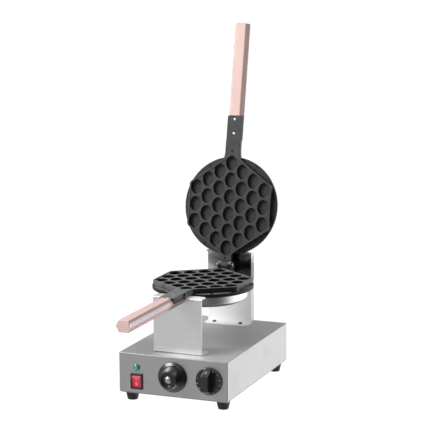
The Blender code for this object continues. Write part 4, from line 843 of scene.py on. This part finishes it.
def make_hinge():
    """The pin, and the spindle with its bush and ring at the rear bracket."""
    pin = turned([(0, 0.018), (0.0045, 0.018, 0.0014), (0.0045, 0.0155, 0.0003), (0.003, 0.0155),
                  (0.003, -0.0155), (0.0026, -0.0155), (0.0026, -0.0163), (0.003, -0.0163),
                  (0.003, -0.018, 0.0006), (0, -0.018)],
                 at(0, HINGE_REACH, HINGE_RISE) @ ACROSS, 40)
    piece("hinge_pin_turned", pin, IRON, "bright_steel", "hinge_pin", "pin_steel")
    front, end = 0.1343, 0.1545
    spindle = turned([(0.012, front, 0.0003), (0.012, front + 0.0028, 0.0006),
                      (0.008, front + 0.0028), (0.008, end, 0.0006), (0.005, end, 0.0003),
                      (0.005, front)])
    ring = turned([(0.012, 0.1495, 0.0004), (0.012, 0.1515, 0.0004), (0.0083, 0.1515),
                   (0.0083, 0.1495)])
    ring = carve(ring, brick((0.0022, 0.006, 0.01), (0, -0.0115, 0.1505)))
    bush = turned([(0.013, 0.1379, 0.0005), (0.013, 0.1407, 0.0005), (0.0105, 0.1407),
                   (0.0105, 0.149, 0.0005), (0.0083, 0.149, 0.0003), (0.0083, 0.1379, 0.0003)])
    for name, shape, *looks in (
            ("spindle_turned", spindle, "bright_steel", "spindle", "dark_steel"),
            ("spindle_ring_split", ring, "bright_steel", "spindle_ring", "dark_steel"),
            ("spindle_bush_turned", bush, "bronze", "spindle_bush")):
        piece(name, shape, IRON @ INWARD, *looks)


# ---- base and brackets
def make_housing():
    """The folded housing with its vents and cut-outs."""
    shape = bmesh.new()
    bmesh.ops.create_cube(shape, size=1)
    bmesh.ops.scale(shape, vec=(BASE_W, BASE_D, BASE_H), verts=shape.verts)
    floor = [face for face in shape.faces if face.normal.z < -0.5]
    bmesh.ops.inset_region(shape, faces=floor, thickness=BASE_LIP, use_even_offset=True)
    bmesh.ops.delete(shape, geom=floor, context="FACES_ONLY")
    bmesh.ops.translate(shape, vec=(0, BASE_D / 2, BASE_Z + BASE_H / 2), verts=shape.verts)
    shell = taken(thickened(meshed("held", softened(shape, BASE_BEND, 5, 30)), SHEET))
    cuts = brick((0.0221, 0.008, 0.0274), (-CONTROL_X, 0, SWITCH_Z))
    for radius, place in ((LAMP_HOLE_R, at(-CONTROL_X, 0, LAMP_Z) @ OUTWARD),
                          (SHAFT_HOLE_R, at(0, 0, KNOB_Z) @ OUTWARD),
                          (SHAFT_HOLE_R, at(CONTROL_X, 0, KNOB_Z) @ OUTWARD),
                          (GLAND_HOLE_R, at(GLAND_X, BASE_D, GLAND_Z) @ OUTWARD),
                          (LEAD_HOLE_R, at(0, LEAD_Y, BASE_TOP))):
        rod(radius, -0.004, 0.004, place, 40, cuts)
    for number in range(VENTS):
        height = KNOB_Z + (number - VENTS // 2) * VENT_PITCH
        slab(box_outline(0.015, 0.002, 0.0019), -0.004, 0.004, 0, 0,
             at(VENT_X, BASE_D, height) @ OUTWARD, 1, cuts)
    piece("folded_housing", softened(carve(shell, cuts), 0.0002), DEVICE, "brushed_stainless",
          "base_housing")


def channel(path, width, corner):
    """A strip of sheet folded along a path of (y, z) points, with rounded free corners."""
    shape = bmesh.new()
    edge = [shape.verts.new((-width / 2, y, z)) for y, z in path]
    folds = [shape.edges.new(pair) for pair in zip(edge, edge[1:])]
    pulled = bmesh.ops.extrude_edge_only(shape, edges=folds)["geom"]
    moved = [item for item in pulled if isinstance(item, bmesh.types.BMVert)]
    bmesh.ops.translate(shape, verts=moved, vec=(width, 0, 0))
    ends = [vert for vert in shape.verts if len(vert.link_edges) == 2]
    bmesh.ops.bevel(shape, geom=ends, offset=corner, segments=6, affect="VERTICES")
    middle = sum((vert.co for vert in shape.verts), Vector()) / len(shape.verts)
    bmesh.ops.recalc_face_normals(shape, faces=shape.faces)
    if sum((face.calc_center_median() - middle).dot(face.normal) for face in shape.faces) < 0:
        bmesh.ops.reverse_faces(shape, faces=shape.faces)
    return taken(thickened(bevelled(meshed("held", shape, False), 0.0025, 6), SHEET_BRACKET))


def screw_holes(places):
    """Cutters for the screws through a bracket's foot."""
    shape = bmesh.new()
    for x, y in places:
        rod(0.0023, 0, 0.006, at(x, y, BASE_TOP - 0.001), 24, shape)
    return shape


def make_brackets():
    """The front and rear brackets and the four screws that hold them."""
    foot, top = BASE_TOP + FIT, MATE_Z - 0.0105
    front = channel([(FRONT_Y + 0.031, foot), (FRONT_Y, foot), (FRONT_Y, top),
                     (FRONT_Y + 0.022, top)], FRONT_W, 0.002)
    notch = rod(0.0185, -0.04, 0.04, at(0, FRONT_Y + 0.011, MATE_Z) @ OUTWARD, 96)
    front_places = [(x, FRONT_Y + 0.017) for x in (-0.03, 0.03)]
    front = softened(carve(front, notch, screw_holes(front_places)), 0.0003)
    piece("front_bracket_folded", front, DEVICE, "brushed_stainless", "front_bracket",
          "front_sheet")
    top, back = MATE_Z + 0.029, REAR_Y + SHEET_BRACKET
    rear = channel([(REAR_Y - 0.016, top), (back, top), (back, foot), (REAR_Y - 0.026, foot)],
                   REAR_W, 0.005)
    gap = brick((0.08, 0.022, 0.01), (0, REAR_Y - 0.0135, top), 0.003)
    hole = rod(0.0108, -0.01, 0.01, at(0, REAR_Y, MATE_Z) @ OUTWARD, 64)
    rear_places = [(x, REAR_Y - 0.013) for x in (-0.028, 0.028)]
    rear = carve(rear, gap, hole, screw_holes(rear_places))
    low, high, near, far = foot + 0.00375, top - 0.00375, REAR_Y + 0.0012, REAR_Y + 0.0168
    flange = fillet([(near, low, 0.0003), (far, low, 0.003), (far, high, 0.003),
                     (near, high, 0.0003)], 4)
    for side in (-0.0457, 0.0457):
        slab(flange, side - SHEET_BRACKET / 2, side + SHEET_BRACKET / 2, 0.0003, 0.0003,
             ACROSS, 2, rear)
    piece("rear_bracket_folded", softened(rear, 0.00025), DEVICE, "brushed_stainless",
          "rear_bracket", "rear_sheet")
    names = [f"{bracket}_bracket_screw_{side}" for bracket in ("front", "rear")
             for side in ("left", "right")]
    for name, (x, y) in zip(names, front_places + rear_places):
        screw = turned([(0, 0.0024), (0.004, 0.0024, 0.0017), (0.004, 0, 0.0002), (SCREW_R, 0),
                        (SCREW_R, -0.0087, 0.0005), (0, -0.0087)])
        piece(name + "_cross", crossed(screw, 0.0046, 0.0009, 0.0026, 0.0024),
              DEVICE @ at(x, y, foot + SHEET_BRACKET + FIT), "bright_steel", name, "dark_steel")


def make_feet():
    """Four tapered rubber feet with a ribbed collar."""
    across, along = FOOT_INSET
    for row, y in (("front", along), ("rear", BASE_D - along)):
        for side, x in (("left", across - BASE_W / 2), ("right", BASE_W / 2 - across)):
            foot = turned([(0.0023, FOOT_H), (0.0135, FOOT_H, 0.0006),
                           (0.0135, FOOT_H - 0.0022, 0.0004), (0.013, FOOT_H - 0.0026, 0.0003),
                           (0.0101, 0.0016, 0.0008), (0.0098, 0, 0.0009), (0.0052, 0, 0.0005),
                           (0.0052, 0.0065), (0.0023, 0.0065)], sides=64)
            piece(f"rubber_foot_{row}_{side}", foot, DEVICE @ at(x, y, 0), "black_rubber",
                  f"foot_{row}_{side}")


# ---- controls
def make_lamp():
    """The pilot lamp's domed lens."""
    dome = [(0.0066 * sin(turn), 0.0014 + 0.0034 * cos(turn))
            for turn in (pi / 2 * index / 12 for index in range(13))]
    lens = lathe([*dome, (0.0066, 0.0004), (0.0062, FIT), (0, FIT)], sides=48)
    piece("pilot_lens_dome", lens, control(-CONTROL_X, LAMP_Z), "green_lens", "pilot_lamp_lens")


def make_switch():
    """The switch's bezel and housing, and the rocker with its two marks."""
    def pocket():
        return slab(box_outline(0.00955, 0.0122, 0.0005), -0.011, 0.004, 0.0002, 0)
    shell = slab(box_outline(0.01075, 0.0134, 0.0004), -0.0252, 0.0008, 0.0003, 0.0001)
    rim = slab(box_outline(0.0125, 0.0154, 0.0012), FIT, 0.0025, 0.0001, 0.0009)
    shell = merged(carve(shell, pocket()), carve(rim, pocket()))
    piece("switch_bezel_box", shell, control(-CONTROL_X, SWITCH_Z), "black_plastic",
          "switch_housing")
    half_w, half_h, dip = 0.00895, 0.0112, 0.0015
    outline = [(-0.0052 + dip * (1 - (index / 12) ** 2), half_h * index / 12)
               for index in range(-12, 13)] + [(0.0006, half_h), (0.0006, -half_h)]
    tilt = DEVICE @ at(-CONTROL_X, 0.0022, SWITCH_Z) @ turn_about("X", 8)
    rocker = slab(outline, -half_w, half_w, 0.0005, 0.0005, ACROSS, 3)
    piece("rocker_cap", rocker, tilt, "red_plastic", "rocker", body="rocker")
    marks = slab(box_outline(0.0004, 0.0019, 0.0002), 0.0034, 0.0043, 0, 0.0001,
                 at(0, 0, 0.0052) @ turn_about("X", 96))
    lathe(oval(0.00035, 0.0004, 8, 0.0021, 0.0039), at(0, 0, -0.0052) @ turn_about("X", 84), 32,
          marks)
    piece("rocker_marks", marks, tilt, "white_plastic", body="rocker")


def make_thermostat():
    """The thermostat's skirt with its dot, the grip with its dished front, and the cap."""
    skirt = turned([(0.0232, 0.0066, 0.0016), (0.0288, 0.0028, 0.0006), (0.0288, 0.0006, 0.0003),
                    (SHAFT_R, 0.0006), (SHAFT_R, 0.0066)], sides=128)
    dot = turned([(0, 0), (0.0012, 0), (0.0012, 0.00035, 0.0002), (0, 0.00035)],
                 turn_about("Z", -25) @ at(0, 0.0252, 0.00475) @ turn_about("X", -30), 32)
    grip = turned([(0, 0.0204), (0.0116, 0.0204, 0.0014), (0.0126, 0.0249, 0.0008),
                   (0.0168, 0.0249, 0.0012), (0.018, 0.0215, 0.004), (0.0225, 0.0069, 0.0006),
                   (SHAFT_R, 0.0069), (SHAFT_R, SHAFT_END), (0, SHAFT_END)], sides=128)
    cap = turned([(0, 0.0255), (0.0038, 0.025, 0.004), (0.007, 0.0224, 0.0008),
                  (0.007, 0.0207), (0, 0.0207)])
    for name, shape, *looks in (
            ("thermostat_skirt_ring", skirt, "black_plastic", "thermostat_skirt"),
            ("thermostat_dot", dot, "white_plastic"),
            ("thermostat_grip_turned", grip, "black_plastic", "thermostat_grip"),
            ("thermostat_cap_turned", cap, "satin_cap", "thermostat_cap")):
        piece(name, shape, control(0, KNOB_Z), *looks, body="thermostat_knob")


def make_timer():
    """The timer's dial with its tapered bar, pointer line and scale ticks."""
    knob = turned([(0, 0.0052), (0.025, 0.0052, 0.0008), (0.0262, 0.0029, 0.0006),
                   (0.0262, 0.0006, 0.0003), (SHAFT_R, 0.0006), (SHAFT_R, SHAFT_END),
                   (0, SHAFT_END)], sides=128)
    rings = [(box_outline(0.007, 0.024 - 0.00864 * share, 0.0022), 0.0047 + 0.0212 * share)
             for share in (0, 0.25, 0.5, 0.75, 1)]
    for turn in (pi / 6, pi / 3, pi / 2):
        draw = 0.0008 * (1 - cos(turn))
        rings.append((box_outline(0.007 - draw, 0.01496 - draw, 0.002),
                      0.0259 + 0.0008 * sin(turn)))
    knob = merged(knob, carve(skin(rings), rod(SHAFT_R, 0, SHAFT_END)))
    ticks = bmesh.new()
    for number in range(12):
        slab(box_outline(0.00035, 0.0009 if number % 3 else 0.0013, 0.0002), 0.0051, 0.00535, 0,
             0.00008, turn_about("Z", -360 * number / 14) @ at(0, 0.0228, 0), on=ticks)
    line = slab(box_outline(0.0006, 0.0042, 0.0004), -0.0003, 0.00012, 0, 0.00008,
                at(0, 0.0197, 0.0153) @ turn_about("X", -67.8))
    for name, shape, *looks in (("timer_dial_knob", knob, "black_plastic", "timer_knob"),
                                ("timer_ticks", ticks, "white_plastic"),
                                ("timer_pointer", line, "white_plastic")):
        piece(name, shape, control(CONTROL_X, KNOB_Z), *looks, body="timer_knob")


# ---- cable parts
def smooth_route(corners, steps):
    """Points along a smooth curve through a route's corners."""
    points = [Vector(corner) for corner in corners]
    padded = [points[0] * 2 - points[1], *points, points[-1] * 2 - points[-2]]
    route = []
    for before, start, end, after in zip(padded, padded[1:], padded[2:], padded[3:]):
        for step in range(steps):
            t = step / steps
            route.append(0.5 * (2 * start + (end - before) * t
                                + (2 * before - 5 * start + 4 * end - after) * t ** 2
                                + (3 * start - before - 3 * end + after) * t ** 3))
    return route + points[-1:]


def tube(route, radius, sides=20):
    """A round tube along a route."""
    shape = bmesh.new()
    rows = []
    aside = Vector((1, 0, 0))
    for index, point in enumerate(route):
        ahead = (route[min(index + 1, len(route) - 1)] - route[max(index - 1, 0)]).normalized()
        aside = (aside - ahead * aside.dot(ahead)).normalized()
        other = ahead.cross(aside)
        rows.append([shape.verts.new(point + x * aside + y * other)
                     for x, y in oval(radius, radius, sides)])
    return skinned(shape, rows)


def make_cable_parts():
    """The sleeved leads to the iron, their grommet, and the gland for the mains cable."""
    route = [(-0.03, 0.2093, 0.0261), (-0.03, 0.217, 0.0261), (-0.03, 0.233, 0.0261),
             (-0.01, 0.291, BASE_TOP / 2), (0, LEAD_Y, BASE_TOP - 0.024),
             (0, LEAD_Y, BASE_TOP - 0.008), (0, LEAD_Y, BASE_TOP + 0.008),
             (0, 0.317, (BASE_TOP + MATE_Z) / 2), (0, 0.316, MATE_Z - 0.012),
             (0, 0.3085, MATE_Z), (0, 0.3, MATE_Z)]
    piece("woven_sleeve", tube(smooth_route(route, 9), 0.0036), DEVICE, "glass_sleeving",
          "heater_sleeve")
    grommet = turned([(0.0095, 0.0025, 0.0008), (0.0095, FIT, 0.0005), (0.0068, FIT),
                      (0.0068, -0.0015), (0.0095, -0.0015, 0.0005), (0.0095, -0.0037, 0.0008),
                      (0.0045, -0.0037, 0.0005), (0.0045, 0.0025, 0.0008)])
    piece("rubber_grommet", grommet, DEVICE @ at(0, LEAD_Y, BASE_TOP), "black_rubber",
          "lead_grommet")
    ribs = [(radius, top - 0.006 * number, 0.0002) for number in range(2)
            for radius, top in ((0.0075, 0.017), (0.0071, 0.0165), (0.0071, 0.015),
                                (0.0075, 0.0145))]
    gland = turned([(0.0075, 0.0213, 0.0008), *ribs, (0.0075, 0.0033, 0.0004),
                    (0.0125, 0.0033, 0.0008), (0.0125, FIT, 0.0005), (0.0085, FIT),
                    (0.0085, -0.014, 0.0004), (0.0042, -0.014), (0.0042, 0.0213, 0.0008)],
                   sides=64)
    piece("cable_gland_ribbed", gland, DEVICE @ at(GLAND_X, BASE_D, GLAND_Z) @ INWARD,
          "black_plastic", "cable_gland")


def paint_the_rest():
    """The model's own pieces that stay: each takes the material of its slot."""
    slots = {part["node"]: part["material_slot"] for part in frame["record"]["subparts"]}
    for name, item in frame["nodes"].items():
        item.data.materials.clear()
        item.data.materials.append(PAINTS[slots[name]])


# ---- camera, light and floor
def make_camera():
    """The camera that took the photograph, placed by fitting outlines."""
    lens = bpy.data.cameras.new("camera")
    lens.lens, lens.sensor_width, lens.clip_end = 139.33, 36, 200
    camera = linked("camera", lens)
    camera.matrix_world = (at(1.19001, -2.842605, 0.8971) @ turn_about("Z", 21.8104)
                           @ turn_about("X", 90 - 10.0767) @ turn_about("Z", -0.2528))
    bpy.context.scene.camera = camera


def make_key_lamp(place, target, size, power):
    """A square soft lamp that looks at a point."""
    data = bpy.data.lights.new("key", "AREA")
    data.shape, data.size, data.energy = "SQUARE", size, power
    item = linked("key", data)
    item.location = place
    item.rotation_euler = (Vector(target) - Vector(place)).to_track_quat("-Z", "Y").to_euler()


def light_path(paint, name):
    """Whether a ray is of this kind."""
    return Wire(paint, paint.node("LightPath").socket.node.outputs[name])


def make_world():
    """White behind the object, and round it a soft studio that metal mirrors.

    It is brighter behind to the right, above, low at the sides and under the floor, and darker in
    front to the right.
    """
    world = bpy.data.worlds.new("studio")
    world.use_nodes = True
    bpy.context.scene.world = world
    paint = Paint(world.node_tree)
    x, y, z = paint.parts(output=0)
    camera, glossy = light_path(paint, "Is Camera Ray"), light_path(paint, "Is Glossy Ray")
    behind = y.step(-0.55, 0.55)
    mirror = (0.6 + behind * (0.98 * x.step(-0.3, 0.42) - 0.02) + 0.25 * z.step(0.2, 0.8)
              - 0.5 * x.step(0.2, 0.6) * (1 - behind)
              + 0.95 * x.drop(-0.8, -0.5) * z.step(0.25, 0.55) * (1 - behind)
              + 1.6 * x.drop(-0.88, -0.66) * z.step(0.12, 0.3) * behind
              + 0.45 * z.drop(-0.75, -0.45))
    level = 0.3 * (1 - glossy) + mirror * glossy
    background = world.node_tree.nodes["Background"]
    paint.feed(background.inputs["Color"], 1)
    paint.feed(background.inputs["Strength"], level * (1 - camera) + camera)


def make_floor():
    """A wide white floor that keeps a faint shadow."""
    shape = bmesh.new()
    bmesh.ops.create_grid(shape, x_segments=1, y_segments=1, size=60)
    floor = meshed("floor", shape, False)
    made = bpy.data.materials.new("white_floor")
    made.use_nodes = True
    paint = Paint(made.node_tree)
    made.node_tree.nodes.remove(made.node_tree.nodes["Principled BSDF"])
    plain = paint.node("BsdfDiffuse", inputs={"Color": 0.9})
    white = paint.node("Emission", inputs={"Color": 1, "Strength": 1.14})
    both = paint.node("MixShader", inputs={0: light_path(paint, "Is Camera Ray") * 0.86,
                                           1: plain, 2: white})
    paint.feed(made.node_tree.nodes["Material Output"].inputs["Surface"], both)
    floor.data.materials.append(made)
    floor.visible_glossy = False


def main():
    """Build the looks."""
    paint_the_rest()
    make_camera()
    make_world()
    make_floor()
    make_key_lamp((-1.7, -1.6, 2), (0, 0.05, 0.3), 1.4, 90)
    make_housing()
    make_brackets()
    make_feet()
    for half in (("lower", IRON, "machine"), ("upper", LID, "lid")):
        make_pan(*half, half[0] == "upper")
        make_cover(*half)
        make_handle(*half)
    make_hinge()
    make_lamp()
    make_switch()
    make_thermostat()
    make_timer()
    make_cable_parts()
    bpy.context.scene.view_settings.view_transform = "Standard"


main()
